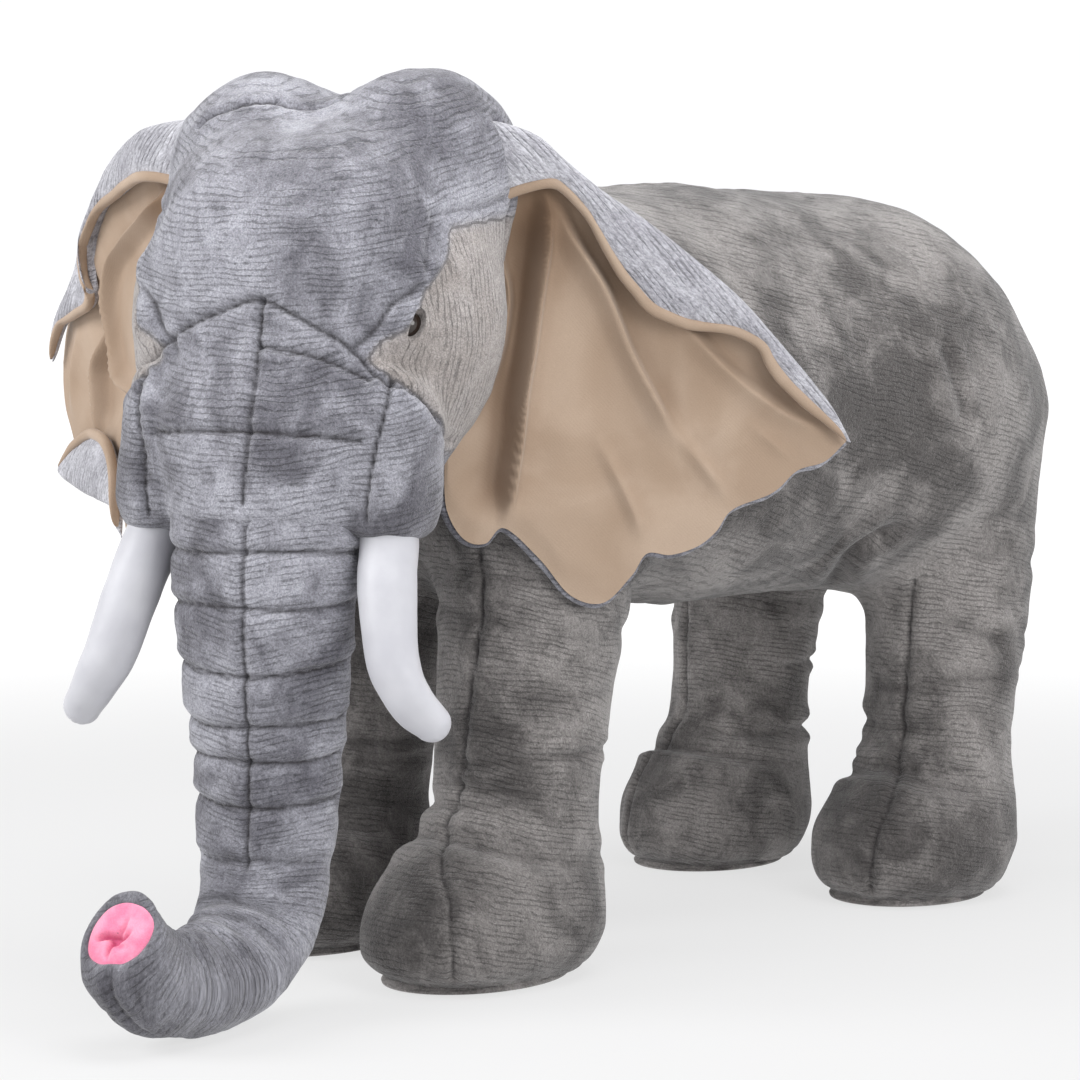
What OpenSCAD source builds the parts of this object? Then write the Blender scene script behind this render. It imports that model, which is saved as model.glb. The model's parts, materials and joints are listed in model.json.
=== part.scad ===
// Standing stuffed elephant: plush skins over polyester filling, carried by a bent steel tube frame.
// The elephant looks along -Y and its left side is +X. The origin is on the floor under the middle
// of the whole toy. Every soft part is a plain closed solid of the right size and place.

/* [Torso] */
// Height of the back above the floor
back_h = 660; // [645:1:670]
// Depth of the barrel from back to belly
torso_d = 378; // [365:1:385]
// Half width of the barrel at its middle
barrel_hw = 200; // [190:1:205]
// Half width of the haunches
haunch_hw = 228; // [220:1:232]
// Half width of the shoulders
shoulder_hw = 190; // [180:1:195]

/* [Legs] */
// Sideways distance of a front leg from the middle
front_leg_x = 103; // [98:1:108]
// Sideways distance of a rear leg from the middle
rear_leg_x = 125; // [120:1:130]
// Distance from the leg centre line of the front pair to that of the rear pair
wheelbase = 532; // [515:1:540]
// Radius of a leg above its foot
leg_r = 70; // [66:1:73]
// Half width of a foot
foot_hw = 77; // [74:1:80]
// How far a front toe stands forward of its leg's centre line
front_toe_reach = 152; // [145:1:156]
// How far a rear toe stands forward of its leg's centre line
rear_toe_reach = 140; // [134:1:144]

/* [Head] */
// How far the head is turned towards the elephant's left
head_turn = 25; // [20:1:28]
// Height of the two domes above the floor
dome_h = 744; // [735:1:748]
// Half width of the head over its cheeks
cheek_hw = 152; // [146:1:155]
// Radius of the stuffed neck ball
neck_r = 88; // [84:1:90]

/* [Trunk] */
// Half width of the trunk where it leaves the face
trunk_hw = 76; // [72:1:78]
// Half width of the trunk above its bend
trunk_low_hw = 52; // [50:1:54]
// Radius of the trunk's end
trunk_end_r = 32; // [30:1:33]

/* [Ears] */
// How far an ear reaches from its seam
ear_reach = 280; // [262:1:285]
// Angle at which the left ear is swept back from straight sideways
left_ear_sweep = 38; // [34:1:42]
// Angle at which the right ear is swept back from straight sideways
right_ear_sweep = 44; // [40:1:48]

/* [Fabric] */
// Thickness of the plush with its pile
plush_t = 5; // [4:0.5:6]
// Thickness of the smooth lining and of the tusk satin
lining_t = 3; // [2.5:0.5:3.5]

/* [Frame] */
// Outer radius of the steel tube
tube_r = 8; // [7:0.5:9]
// Wall of the steel tube
tube_wall = 1.5; // [1.2:0.1:2]

/* [Hidden] */

// Place of the middle of the four legs, so that the origin is under the middle of the whole toy
legs_mid = [52, 95, 0];
// Gap that keeps neighbouring pieces apart
gap = 0.4;
// Sides of a rounded soft shape and of a steel tube
soft_fn = 16;
tube_fn = 48;
// Larger than any part of the toy
far = 2000;

plush_grey = [0.50, 0.50, 0.52];
head_grey = [0.60, 0.61, 0.64];
lining_tan = [0.74, 0.64, 0.54];
tusk_white = [0.94, 0.94, 0.95];
nostril_pink = [0.96, 0.56, 0.70];
wadding = [0.96, 0.96, 0.94];
steel = [0.55, 0.56, 0.58];
board_black = [0.20, 0.20, 0.22];
eye_brown = [0.10, 0.06, 0.04];

// Torso and legs, measured from the middle of the four legs
torso_z = back_h - torso_d / 2;
front_leg_y = -215;
rear_leg_y = front_leg_y + wheelbase;
hoop_z = 440;
// How far a heel stands behind its leg's centre line, and how far a sole keeps inside the foot
heel_reach = 46;
sole_edge = 10;
sole_t = 3;
board_t = 5;
function toe_reach(y) = y < 0 ? front_toe_reach : rear_toe_reach;
function sole_half(y) = [foot_hw - sole_edge, (toe_reach(y) + heel_reach) / 2 - sole_edge];

// Neck: the middle of its ball, and the clear seat round it
neck_at = [0, -300, 525];
seat_r = neck_r + 3;
// Limits of the turn of the head from rest, and the room it needs to nod
turn_stops = [-25, 1];
nod_room = 14;

// Head, in its own axes: X to its left, Y backward from the neck, Z from the floor
dome_half = [84, 88, 88];
eye_at = [107, -160, 541];
eye_out = [0.80, -0.60, 0.05];
eye_r = 12;
eye_shaft_r = 3;
eye_shaft_l = 18;
washer_r = 9;
washer_t = 2;

// Trunk: hinge at the jaw, hinge above the bend, and the line from each to the next
trunk_hinge = [0, -188, 395];
trunk_room_r = 57;
bend_hinge = [0, -193, 150];
trunk_line = [[0, -188, 395], [0, -194, 315], [0, -189, 225], [0, -193, 150]];
trunk_half = [[trunk_hw, 54], [trunk_hw - 5, 52], [64, 48], [trunk_low_hw, 46]];
nostril_pad_t = 6;
tip_line = [[0, -195, 101], [0, -203, 76], [-4, -224, 54], [-16, -290, 38],
    [-32, -343, 54], [-44, -366, 92]];
tip_half = [[48, 44], [45, 41], [41, 39], [37, 36], [35, 35], [trunk_end_r, trunk_end_r]];

// Tusk, for the left side
tusk_line = [[101, -184, 371], [108, -205, 335], [119, -221, 288], [134, -222, 258], [153, -212, 236]];
tusk_half = [[23, 23], [22, 22], [21, 21], [18, 18], [7, 7]];
// Height of the flat lower end of a jaw pad, where the tusk is sewn on
pad_end_z = 384;

// Ear, for the left side: foot of its hinge, and its outline as reach from the hinge and height
ear_root = [155, -33, 0];
r = ear_reach / 280;
ear_outline = [[0, 694], [48 * r, 656], [105 * r, 620], [180 * r, 562], [242 * r, 500],
    [280 * r, 440], [235 * r, 418], [185 * r, 386], [152 * r, 356], [108 * r, 350], [68 * r, 312],
    [38 * r, 324], [14 * r, 352], [-16, 374], [-38, 366], [-56, 388], [-52, 430], [-22, 468], [0, 500]];
function ear_sweep(side) = side > 0 ? left_ear_sweep : right_ear_sweep;
ear_corner_r = 8;

// Tail, from the ball at its root to its end, and the tuft below it
tail_line = [[0, 450, 505], [0, 466, 470], [0, 474, 400], [0, 470, 330], [0, 466, 262]];
tail_half = [[13, 13], [12, 12], [11, 11], [10, 10], [9, 9]];
tuft_line = [[0, 466, 261], [0, 465, 225], [0, 466, 185]];
tuft_half = [[9, 9], [17, 17], [6, 6]];

// ---- Shared shapes ----

function unit(v) = v / norm(v);

// A value part of the way along a list of values, with t from 0 to 1
function blend_at(list, t) =
    let (n = len(list) - 1, s = min(max(t, 0), 1) * n, i = min(floor(s), n - 1))
    list[i] + (list[i + 1] - list[i]) * (s - i);

// A point of the smooth curve through knots, with t from 0 to 1
function smooth_at(knots, t) =
    let (
        n = len(knots) - 1,
        s = min(max(t, 0), 1) * n,
        i = min(floor(s), n - 1),
        w = s - i,
        p0 = knots[max(i - 1, 0)],
        p1 = knots[i],
        p2 = knots[i + 1],
        p3 = knots[min(i + 2, n)]
    )
    0.5 * (2 * p1 + (p2 - p0) * w + (2 * p0 - 5 * p1 + 4 * p2 - p3) * w * w
        + (3 * p1 - p0 - 3 * p2 + p3) * w * w * w);

function tangent_at(knots, t) = unit(smooth_at(knots, t + 0.01) - smooth_at(knots, t - 0.01));

// A station of a swept tube: its middle, its direction, and its half width and half depth
function station(knots, halves, t, inset) =
    [smooth_at(knots, t), tangent_at(knots, t), blend_at(halves, t) - [inset, inset]];

function stations(knots, halves, rings, inset = 0, from = 0, to = 1) =
    [for (i = [0:rings]) station(knots, halves, from + (to - from) * i / rings, inset)];

// Stations that round off an end, from the tube outward; reach is negative before its first station
function round_end(last, reach) =
    [for (a = [30, 55, 78]) [last[0] + last[1] * reach * sin(a), last[1], last[2] * cos(a)]];

function reversed(list) = [for (i = [len(list) - 1:-1:0]) list[i]];

function ring_points(at, sides) =
    let (across = unit([1, 0, 0] - at[1][0] * at[1]), depth = cross(at[1], across))
    [for (k = [0:sides - 1])
        let (a = 360 * k / sides)
        at[0] + across * at[2][0] * cos(a) + depth * at[2][1] * sin(a)];

// The closed solid through a list of stations; a list that turns back inside itself makes a cup
module through(list, sides) {
    points = [for (at = list) each ring_points(at, sides)];
    last = (len(list) - 1) * sides;
    walls = [for (i = [0:len(list) - 2], k = [0:sides - 1])
        let (a = i * sides, n = (k + 1) % sides)
        each [[a + k, a + sides + n, a + n], [a + k, a + sides + k, a + sides + n]]];
    first_cap = [for (k = [1:sides - 2]) [0, k, k + 1]];
    last_cap = [for (k = [1:sides - 2]) [last, last + k + 1, last + k]];
    polyhedron(points, concat(walls, first_cap, last_cap));
}

// An ellipsoid by its middle and three half sizes, shrunk by inset
module blob(at, half, inset = 0) {
    translate(at)
        scale([half[0] - inset, half[1] - inset, half[2] - inset])
            sphere(1, $fn = soft_fn);
}

module above(z) {
    intersection() {
        children();
        translate([-far / 2, -far / 2, z])
            cube(far);
    }
}

module on_side(side) {
    mirror([side < 0 ? 1 : 0, 0, 0])
        children();
}

// The head's own axes, which stand on the neck and are turned with it
module in_head() {
    translate([neck_at[0], neck_at[1], 0])
        rotate([0, 0, head_turn])
            children();
}

// ---- Torso ----

module shoulders(inset = 0) {
    for (side = [-1, 1])
        blob([side * (shoulder_hw - 152), -118, torso_z + 4], [152, 138, 172], inset);
    blob([0, -180, 428], [140, 108, 122], inset);
}

module torso_shape(inset = 0) {
    hull() {
        for (side = [-1, 1])
            blob([side * (haunch_hw - 174), 252, torso_z - 8], [174, 188, torso_d / 2 - 8], inset);
        blob([0, 40, torso_z], [barrel_hw, 200, torso_d / 2], inset);
        shoulders(inset);
    }
}

module neck_seat() {
    translate(neck_at)
        sphere(seat_r, $fn = 24);
}

module torso_skin() {
    color(plush_grey)
        difference() {
            torso_shape();
            torso_shape(plush_t);
            neck_seat();
            hoop(front_leg_x, front_leg_y, tube_r + gap);
            hoop(rear_leg_x, rear_leg_y, tube_r + gap);
        }
}

module torso_filling() {
    color(wadding)
        difference() {
            torso_shape(plush_t + gap);
            neck_seat();
            hoop(front_leg_x, front_leg_y, tube_r + gap);
            hoop(rear_leg_x, rear_leg_y, tube_r + gap);
            spine_rod(tube_r + gap, gap);
        }
}

// ---- Steel frame ----

// An upside-down U through a pair of legs, standing on the two foot boards
module hoop(x, y, radius) {
    foot_z = sole_t + board_t + 2 * gap;
    for (side = [-1, 1])
        translate([side * x, y, foot_z])
            cylinder(r = radius, h = hoop_z - foot_z, $fn = tube_fn);
    for (side = [-1, 1])
        translate([side * x, y, hoop_z])
            sphere(radius, $fn = tube_fn);
    translate([-x, y, hoop_z])
        rotate([0, 90, 0])
            cylinder(r = radius, h = 2 * x, $fn = tube_fn);
}

module frame_hoop(x, y) {
    color(steel)
        difference() {
            hoop(x, y, tube_r);
            hoop(x, y, tube_r - tube_wall);
        }
}

module spine_rod(radius, longer = 0) {
    start = front_leg_y + tube_r + gap - longer;
    finish = rear_leg_y - tube_r - gap + longer;
    translate([0, start, hoop_z])
        rotate([-90, 0, 0])
            cylinder(r = radius, h = finish - start, $fn = tube_fn);
}

module spine_tube() {
    color(steel)
        difference() {
            spine_rod(tube_r);
            spine_rod(tube_r - tube_wall, 1);
        }
}

// ---- Legs ----

// A leg is given by the sideways place of its centre line, and that line's place along the body
module leg_shape(x, y, inset = 0) {
    hull() {
        blob([x * 0.9, y + 34, 395], [leg_r, leg_r + 14, 80], inset);
        blob([x, y - 6, 115], [leg_r, leg_r, 62], inset);
    }
    hull() {
        blob([x, y - 22, 54], [foot_hw, 68, 54], inset);
        blob([x, y - toe_reach(y) + 68, 50], [foot_hw - 4, 68, 50], inset);
        foot_plate(x, y, sole_t, sole_t + 2, inset, 20);
    }
}

module leg_skin(x, y) {
    color(plush_grey)
        above(sole_t)
            difference() {
                leg_shape(x, y);
                leg_shape(x, y, plush_t);
                torso_shape(-gap);
            }
}

module leg_filling(x, y) {
    color(wadding)
        above(sole_t + board_t + 2 * gap)
            difference() {
                leg_shape(x, y, plush_t + gap);
                torso_shape(-gap);
                hoop(abs(x), y, tube_r + gap);
            }
}

// The corners of an oval, by its two half sizes
function oval(half, sides) =
    [for (k = [0:sides - 1]) [half[0] * cos(360 * k / sides), half[1] * sin(360 * k / sides)]];

// A flat oval plate as large as a sole, or smaller all round
module foot_plate(x, y, low, high, smaller, sides = 64) {
    half = sole_half(y) - [smaller, smaller];
    translate([x, y + heel_reach - sole_edge - sole_half(y)[1], low])
        linear_extrude(high - low)
            polygon(oval(half, sides));
}

module foot_board(x, y) {
    color(board_black)
        foot_plate(x, y, sole_t + gap, sole_t + gap + board_t, 7);
}

module sole(x, y) {
    color(plush_grey)
        foot_plate(x, y, 0, sole_t, 0);
}

// ---- Head ----

module skull(inset = 0) {
    hull()
        for (side = [-1, 1]) {
            blob([side * 66, -28, dome_h - dome_half[2]], dome_half, inset);
            blob([side * (cheek_hw - 84), -82, 545], [84, 92, 112], inset);
            blob([side * 40, -112, 575], [84, 82, 96], inset);
        }
}

module jaw(inset = 0) {
    hull()
        for (side = [-1, 1]) {
            blob([side * 62, -100, 520], [78, 82, 84], inset);
            blob([side * 48, -140, 440], [66, 80, 82], inset);
        }
}

module face(inset = 0) {
    hull() {
        blob([0, -128, 520], [80, 68, 76], inset);
        blob([0, -168, 450], [84, 66, 88], inset);
    }
}

module head_shape(inset = 0) {
    skull(inset);
    jaw(inset);
    face(inset);
}

// Room behind the head for the shoulders, through the whole turn of the head
module shoulder_room() {
    hull()
        for (turn = turn_stops)
            rotate([0, 0, -head_turn - turn])
                translate([-neck_at[0], -neck_at[1], 0])
                    shoulders(-nod_room);
    translate([0, 0, neck_at[2]])
        sphere(seat_r, $fn = 24);
}

// Room under the face for the trunk as it swings about its hinge
module trunk_room() {
    translate(trunk_hinge)
        rotate([0, 90, 0])
            cylinder(r = trunk_room_r, h = 2 * trunk_hw + 6, center = true, $fn = 48);
    translate([-trunk_hw - 3, trunk_hinge[1] - 112, trunk_hinge[2] - 100])
        cube([2 * trunk_hw + 6, 180, 100]);
}

module eye_shape(side, grow = 0) {
    on_side(side)
        translate(eye_at)
            rotate([0, acos(eye_out[2] / norm(eye_out)), atan2(eye_out[1], eye_out[0])]) {
                sphere(eye_r + grow, $fn = 48);
                translate([0, 0, -eye_shaft_l - grow])
                    cylinder(r = eye_shaft_r + grow, h = eye_shaft_l, $fn = 32);
            }
}

module washer_shape(side, grow = 0) {
    on_side(side)
        translate(eye_at)
            rotate([0, acos(eye_out[2] / norm(eye_out)), atan2(eye_out[1], eye_out[0])])
                translate([0, 0, -eye_r - washer_t - 2 - grow])
                    cylinder(r = washer_r + grow, h = washer_t + 2 * grow, $fn = 48);
}

module head_skin() {
    color(head_grey)
        in_head()
            difference() {
                head_shape();
                head_shape(plush_t);
                shoulder_room();
                trunk_room();
                for (side = [-1, 1])
                    eye_shape(side, gap);
            }
}

module head_filling() {
    color(wadding)
        in_head()
            difference() {
                head_shape(plush_t + gap);
                shoulder_room();
                trunk_room();
                for (side = [-1, 1]) {
                    eye_shape(side, gap);
                    washer_shape(side, gap);
                }
            }
}

module eye(side) {
    color(eye_brown)
        in_head()
            eye_shape(side);
}

module eye_washers() {
    color(board_black)
        in_head()
            for (side = [-1, 1])
                difference() {
                    washer_shape(side);
                    eye_shape(side, 0.1);
                }
}

// A small padded fold over the eye
module eyelid(side) {
    color(head_grey)
        in_head()
            difference() {
                on_side(side)
                    blob([104, -166, 557], [16, 18, 13]);
                skull(-gap);
                jaw(-gap);
                eye_shape(side, gap);
            }
}

// The padded panel beside the trunk that holds a tusk
module jaw_pad_shape(inset = 0) {
    hull() {
        blob([94, -155, 468], [36, 46, 40], inset);
        blob([97, -166, 404], [35, 48, 42], inset);
    }
}

module jaw_pad(side) {
    color(head_grey)
        in_head()
            above(pad_end_z)
                difference() {
                    on_side(side)
                        jaw_pad_shape();
                    jaw(-gap);
                    face(-gap);
                    trunk_room();
                }
}

module lower_lip() {
    color(head_grey)
        in_head()
            difference() {
                blob([0, -78, 372], [44, 44, 34]);
                jaw(-gap);
                shoulder_room();
            }
}

module tusk_skin(side) {
    outer = stations(tusk_line, tusk_half, 9);
    inner = stations(tusk_line, tusk_half, 7, lining_t, 0, 0.94);
    color(tusk_white)
        in_head()
            on_side(side)
                through(concat(reversed(inner), outer), 12);
}

module tusk_filling(side) {
    color(wadding)
        in_head()
            on_side(side)
                through(stations(tusk_line, tusk_half, 7, lining_t + gap, 0, 0.93), 12);
}

module neck_core() {
    color(wadding)
        translate(neck_at)
            sphere(neck_r, $fn = 32);
}

// ---- Trunk ----

// The hanging trunk, rounded about the axis of each of its two hinges
module trunk_shape(inset = 0) {
    list = stations(trunk_line, trunk_half, 8, inset);
    top = round_end(list[0], inset - trunk_half[0][1]);
    bottom = round_end(list[8], trunk_half[3][1] - inset);
    through(concat(reversed(top), list, bottom), soft_fn);
}

module trunk_skin() {
    color(head_grey)
        in_head()
            difference() {
                trunk_shape();
                trunk_shape(plush_t);
            }
}

module trunk_filling() {
    color(wadding)
        in_head()
            trunk_shape(plush_t + gap);
}

// The skin is a cup that opens at the end of the trunk, where the nostril pad closes it
module trunk_tip_skin() {
    outer = stations(tip_line, tip_half, 12);
    inner = stations(tip_line, tip_half, 11, plush_t, 0.03, 1);
    color(head_grey)
        in_head()
            through(concat(outer, reversed(inner)), soft_fn);
}

module trunk_tip_filling() {
    color(wadding)
        in_head()
            through(stations(tip_line, tip_half, 11, plush_t + 4 * gap, 0.04, 0.94), soft_fn);
}

module nostril_pad() {
    out = tangent_at(tip_line, 0.995);
    pad_r = (trunk_end_r - plush_t) * cos(180 / soft_fn) - gap;
    color(nostril_pink)
        in_head()
            translate(tip_line[len(tip_line) - 1] - out * nostril_pad_t)
                rotate([0, acos(out[2]), atan2(out[1], out[0])])
                    cylinder(r = pad_r, h = nostril_pad_t, $fn = 48);
}

// ---- Ears ----

// An ear's own axes: X along its reach, -Y out of its lining
module in_ear(side) {
    in_head()
        on_side(side)
            translate(ear_root)
                rotate([0, 0, ear_sweep(side)])
                    children();
}

module ear_plan(smaller = 0) {
    offset(r = ear_corner_r - smaller, $fn = 24)
        offset(delta = -ear_corner_r)
            polygon(ear_outline);
}

// A slab of the ear between two distances in front of the seam between plush and lining
module ear_slab(low, high) {
    translate([0, -low, 0])
        rotate([90, 0, 0])
            linear_extrude(high - low)
                children();
}

module ear_back(side) {
    color(head_grey)
        in_ear(side)
            ear_slab(-plush_t, 0)
                ear_plan();
}

module ear_lining(side) {
    color(lining_tan)
        in_ear(side)
            ear_slab(gap, lining_t - gap)
                ear_plan(4);
}

// ---- Tail ----

module tail_shape(inset = 0) {
    list = stations(tail_line, tail_half, 9, inset);
    root = round_end(list[0], inset - tail_half[0][1]);
    through(concat(reversed(root), list), 12);
}

module tail_skin() {
    color(plush_grey)
        difference() {
            tail_shape();
            through(stations(tail_line, tail_half, 9, plush_t - 1, 0, 0.98), 12);
        }
}

module tail_filling() {
    color(wadding)
        through(stations(tail_line, tail_half, 9, plush_t - 1 + gap, 0.01, 0.97), 12);
}

module tail_tuft() {
    color(plush_grey)
        through(stations(tuft_line, tuft_half, 8), 12);
}

// ---- The toy ----

module placed() {
    translate(legs_mid)
        children();
}

placed() torso_skin();
placed() torso_filling();
placed() frame_hoop(front_leg_x, front_leg_y);  // front_frame_hoop
placed() frame_hoop(rear_leg_x, rear_leg_y);  // rear_frame_hoop
placed() spine_tube();
placed() leg_skin(front_leg_x, front_leg_y);  // front_left_leg_skin
placed() leg_filling(front_leg_x, front_leg_y);  // front_left_leg_filling
placed() foot_board(front_leg_x, front_leg_y);  // front_left_foot_board
placed() sole(front_leg_x, front_leg_y);  // front_left_sole
placed() leg_skin(-front_leg_x, front_leg_y);  // front_right_leg_skin
placed() leg_filling(-front_leg_x, front_leg_y);  // front_right_leg_filling
placed() foot_board(-front_leg_x, front_leg_y);  // front_right_foot_board
placed() sole(-front_leg_x, front_leg_y);  // front_right_sole
placed() leg_skin(rear_leg_x, rear_leg_y);  // rear_left_leg_skin
placed() leg_filling(rear_leg_x, rear_leg_y);  // rear_left_leg_filling
placed() foot_board(rear_leg_x, rear_leg_y);  // rear_left_foot_board
placed() sole(rear_leg_x, rear_leg_y);  // rear_left_sole
placed() leg_skin(-rear_leg_x, rear_leg_y);  // rear_right_leg_skin
placed() leg_filling(-rear_leg_x, rear_leg_y);  // rear_right_leg_filling
placed() foot_board(-rear_leg_x, rear_leg_y);  // rear_right_foot_board
placed() sole(-rear_leg_x, rear_leg_y);  // rear_right_sole
placed() neck_core();
placed() head_skin();
placed() head_filling();
placed() eye(1);  // left_eye
placed() eye(-1);  // right_eye
placed() eye_washers();
placed() eyelid(1);  // left_eyelid
placed() eyelid(-1);  // right_eyelid
placed() jaw_pad(1);  // left_jaw_pad
placed() jaw_pad(-1);  // right_jaw_pad
placed() lower_lip();
placed() tusk_skin(1);  // left_tusk_skin
placed() tusk_filling(1);  // left_tusk_filling
placed() tusk_skin(-1);  // right_tusk_skin
placed() tusk_filling(-1);  // right_tusk_filling
placed() trunk_skin();
placed() trunk_filling();
placed() trunk_tip_skin();
placed() trunk_tip_filling();
placed() nostril_pad();
placed() ear_back(1);  // left_ear_back
placed() ear_lining(1);  // left_ear_lining
placed() ear_back(-1);  // right_ear_back
placed() ear_lining(-1);  // right_ear_lining
placed() tail_skin();
placed() tail_filling();
placed() tail_tuft();
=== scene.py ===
"""Stuffed elephant: crinkled grey plush, tan ear linings, satin tusks and a curled stuffed trunk.

The plush skins are drawn as smooth fields around the CAD frame, turned into meshes, and then
given seams, creases, folds and lumps vertex by vertex. All lengths are in metres.
"""

import json
import math

import bmesh
import bpy
import numpy as np
import openvdb
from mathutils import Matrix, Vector


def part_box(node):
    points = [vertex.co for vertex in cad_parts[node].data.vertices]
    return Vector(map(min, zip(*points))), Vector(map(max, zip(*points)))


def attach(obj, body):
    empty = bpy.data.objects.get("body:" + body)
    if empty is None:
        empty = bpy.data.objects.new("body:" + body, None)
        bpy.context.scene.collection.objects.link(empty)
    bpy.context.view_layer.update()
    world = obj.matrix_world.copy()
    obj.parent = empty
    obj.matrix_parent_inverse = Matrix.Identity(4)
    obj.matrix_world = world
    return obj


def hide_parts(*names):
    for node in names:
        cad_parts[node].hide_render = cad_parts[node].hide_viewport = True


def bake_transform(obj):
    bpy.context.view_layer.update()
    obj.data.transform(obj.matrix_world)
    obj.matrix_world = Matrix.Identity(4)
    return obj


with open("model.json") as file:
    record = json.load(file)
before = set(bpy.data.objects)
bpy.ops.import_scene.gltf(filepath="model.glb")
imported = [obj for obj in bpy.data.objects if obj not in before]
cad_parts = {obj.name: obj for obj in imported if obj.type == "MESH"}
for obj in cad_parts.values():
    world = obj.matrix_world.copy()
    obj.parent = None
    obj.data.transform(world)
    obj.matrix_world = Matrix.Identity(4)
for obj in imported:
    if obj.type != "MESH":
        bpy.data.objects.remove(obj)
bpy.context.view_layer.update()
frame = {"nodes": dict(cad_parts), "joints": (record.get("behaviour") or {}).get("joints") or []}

# ---- Places taken from the frame ----

JOINTS = {joint["name"]: joint for joint in frame["joints"]}


def pivot(name):
    return np.array(JOINTS[name]["pos_m"], float)


UP = np.array([0, 0, 1.0])
NECK = pivot("neck_turn")
# The head's own axes: SIDE to its left, BACK behind it. Z is the height above the floor.
SIDE = np.array(JOINTS["head_nod"]["axis"], float)
BACK = np.array([-SIDE[1], SIDE[0], 0.0])
# The middle of the four legs, 300 mm behind the neck
LEGS_MID = np.array([NECK[0], NECK[1] + 0.300, 0.0])
SWING = pivot("trunk_swing")
CURL = pivot("trunk_curl")
# Middles of the left legs, measured from LEGS_MID
FRONT_LEG = np.array([0.103, -0.215])
REAR_LEG = np.array([0.125, 0.317])
SOLE_TOP = 0.003
# How far each ear sweeps back from straight sideways, in degrees, by its side
EAR_SWEEP = {1: 38, -1: 44}

# ---- Fineness of the meshes ----

COARSER = 1.0
BODY_VOXEL = 0.0035 * COARSER
HEAD_VOXEL = 0.0024 * COARSER
TRUNK_VOXEL = 0.0022 * COARSER
NECK_VOXEL = HEAD_VOXEL * 1.6


# ---- Frames ----

def from_body(points):
    """Body coordinates (left, back, up from the middle of the legs) to the row frame."""
    return np.asarray(points, float) + LEGS_MID


def from_head(points):
    """Head coordinates (left, back, up) to the row frame."""
    p = np.atleast_2d(np.asarray(points, float))
    ground = np.array([NECK[0], NECK[1], 0.0])
    return ground + p[:, :1] * SIDE + p[:, 1:2] * BACK + p[:, 2:3] * UP


def forward(points):
    """Head points written (left, forward, up) as (left, back, up)."""
    return np.array(points, float) * np.array([1, -1, 1.0])


def mirrored(points, side):
    """Points given for the left: as they are for side 1, their mirror image for side -1."""
    return [(side * x, y, z) for x, y, z in points]


def both(points):
    """A line given for the left, and its mirror image."""
    return [mirrored(points, side) for side in (1, -1)]


def ear_frame(side):
    """Root and axes of an ear in head coordinates: along its reach, and out of its lining."""
    root = pivot("left_ear_flap" if side > 0 else "right_ear_flap") - NECK
    root = np.array([root @ SIDE, root @ BACK, 0.0])
    sweep = math.radians(EAR_SWEEP[side])
    reach = np.array([side * math.cos(sweep), math.sin(sweep), 0.0])
    out = np.array([side * math.sin(sweep), -math.cos(sweep), 0.0])
    return root, reach, out


# ---- Noise ----

SLOPES = 4096
LATTICE = np.random.default_rng(11).normal(size=(SLOPES, 3)).astype(np.float32)
LATTICE /= np.linalg.norm(LATTICE, axis=1, keepdims=True)


def noise(points, size, seed=0):
    """Smooth gradient noise between about -1 and 1, with lumps of that size."""
    q = np.asarray(points, np.float32) / size + np.float32(seed * 17.31)
    cell = np.floor(q).astype(np.int64)
    part = q - cell
    ease = part * part * part * (part * (part * 6 - 15) + 10)
    total = np.zeros(len(q), np.float32)
    for corner in np.ndindex(2, 2, 2):
        at = cell + corner
        key = (at[:, 0] * 73856093) ^ (at[:, 1] * 19349663) ^ (at[:, 2] * 83492791)
        slope = LATTICE[key % SLOPES]
        weight = np.ones(len(q), np.float32)
        for axis in range(3):
            weight *= ease[:, axis] if corner[axis] else 1 - ease[:, axis]
        total += weight * np.einsum("ij,ij->i", slope, part - np.array(corner, np.float32))
    return total * 1.6


def fbm(points, size, octaves, seed):
    """Noise with finer and weaker noise added to it."""
    total = 0
    for k in range(octaves):
        total = total + noise(points, size / 2**k, seed + k) / 2**k
    return total


def ramp(x, low, high):
    """0 below low, 1 above high, smooth between."""
    t = np.clip((x - low) / (high - low), 0, 1)
    return t * t * (3 - 2 * t)


def bump_at(x, middle, width):
    """1 at the middle, fading away over the width on both sides."""
    return np.exp(-(((x - middle) / width) ** 2))


# ---- Fields: distance to a soft shape, negative inside ----

# Stands for "not near" in a field that is worked out only in part of space
FAR = 0.2


def ellipsoid(p, middle, half):
    q = [(p[i] - middle[i]) / half[i] for i in range(3)]
    near = np.sqrt(q[0] ** 2 + q[1] ** 2 + q[2] ** 2) + 1e-6
    far = np.sqrt((q[0] / half[0]) ** 2 + (q[1] / half[1]) ** 2 + (q[2] / half[2]) ** 2) + 1e-6
    return near * (near - 1) / far


def pair(p, middle, half, soft):
    """The same ellipsoid on the left and on the right."""
    left = ellipsoid(p, middle, half)
    right = ellipsoid(p, (-middle[0], middle[1], middle[2]), half)
    return soft_union(left, right, soft)


def soft_union(a, b, soft):
    """Both shapes, with a fillet of about that size where they meet."""
    h = np.clip(0.5 + 0.5 * (b - a) / soft, 0, 1)
    return b + (a - b) * h - soft * h * (1 - h)


def soft_cut(a, b, soft):
    """a with b taken away."""
    return -soft_union(-a, b, soft)


def local(p, low, high, field):
    """A field worked out only inside a box, and far away outside it."""
    inside = np.ones(p[0].shape, bool)
    for axis in range(3):
        inside &= (p[axis] > low[axis]) & (p[axis] < high[axis])
    made = np.full(p[0].shape, FAR, np.float32)
    if inside.any():
        made[inside] = field([c[inside] for c in p])
    return made


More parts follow.
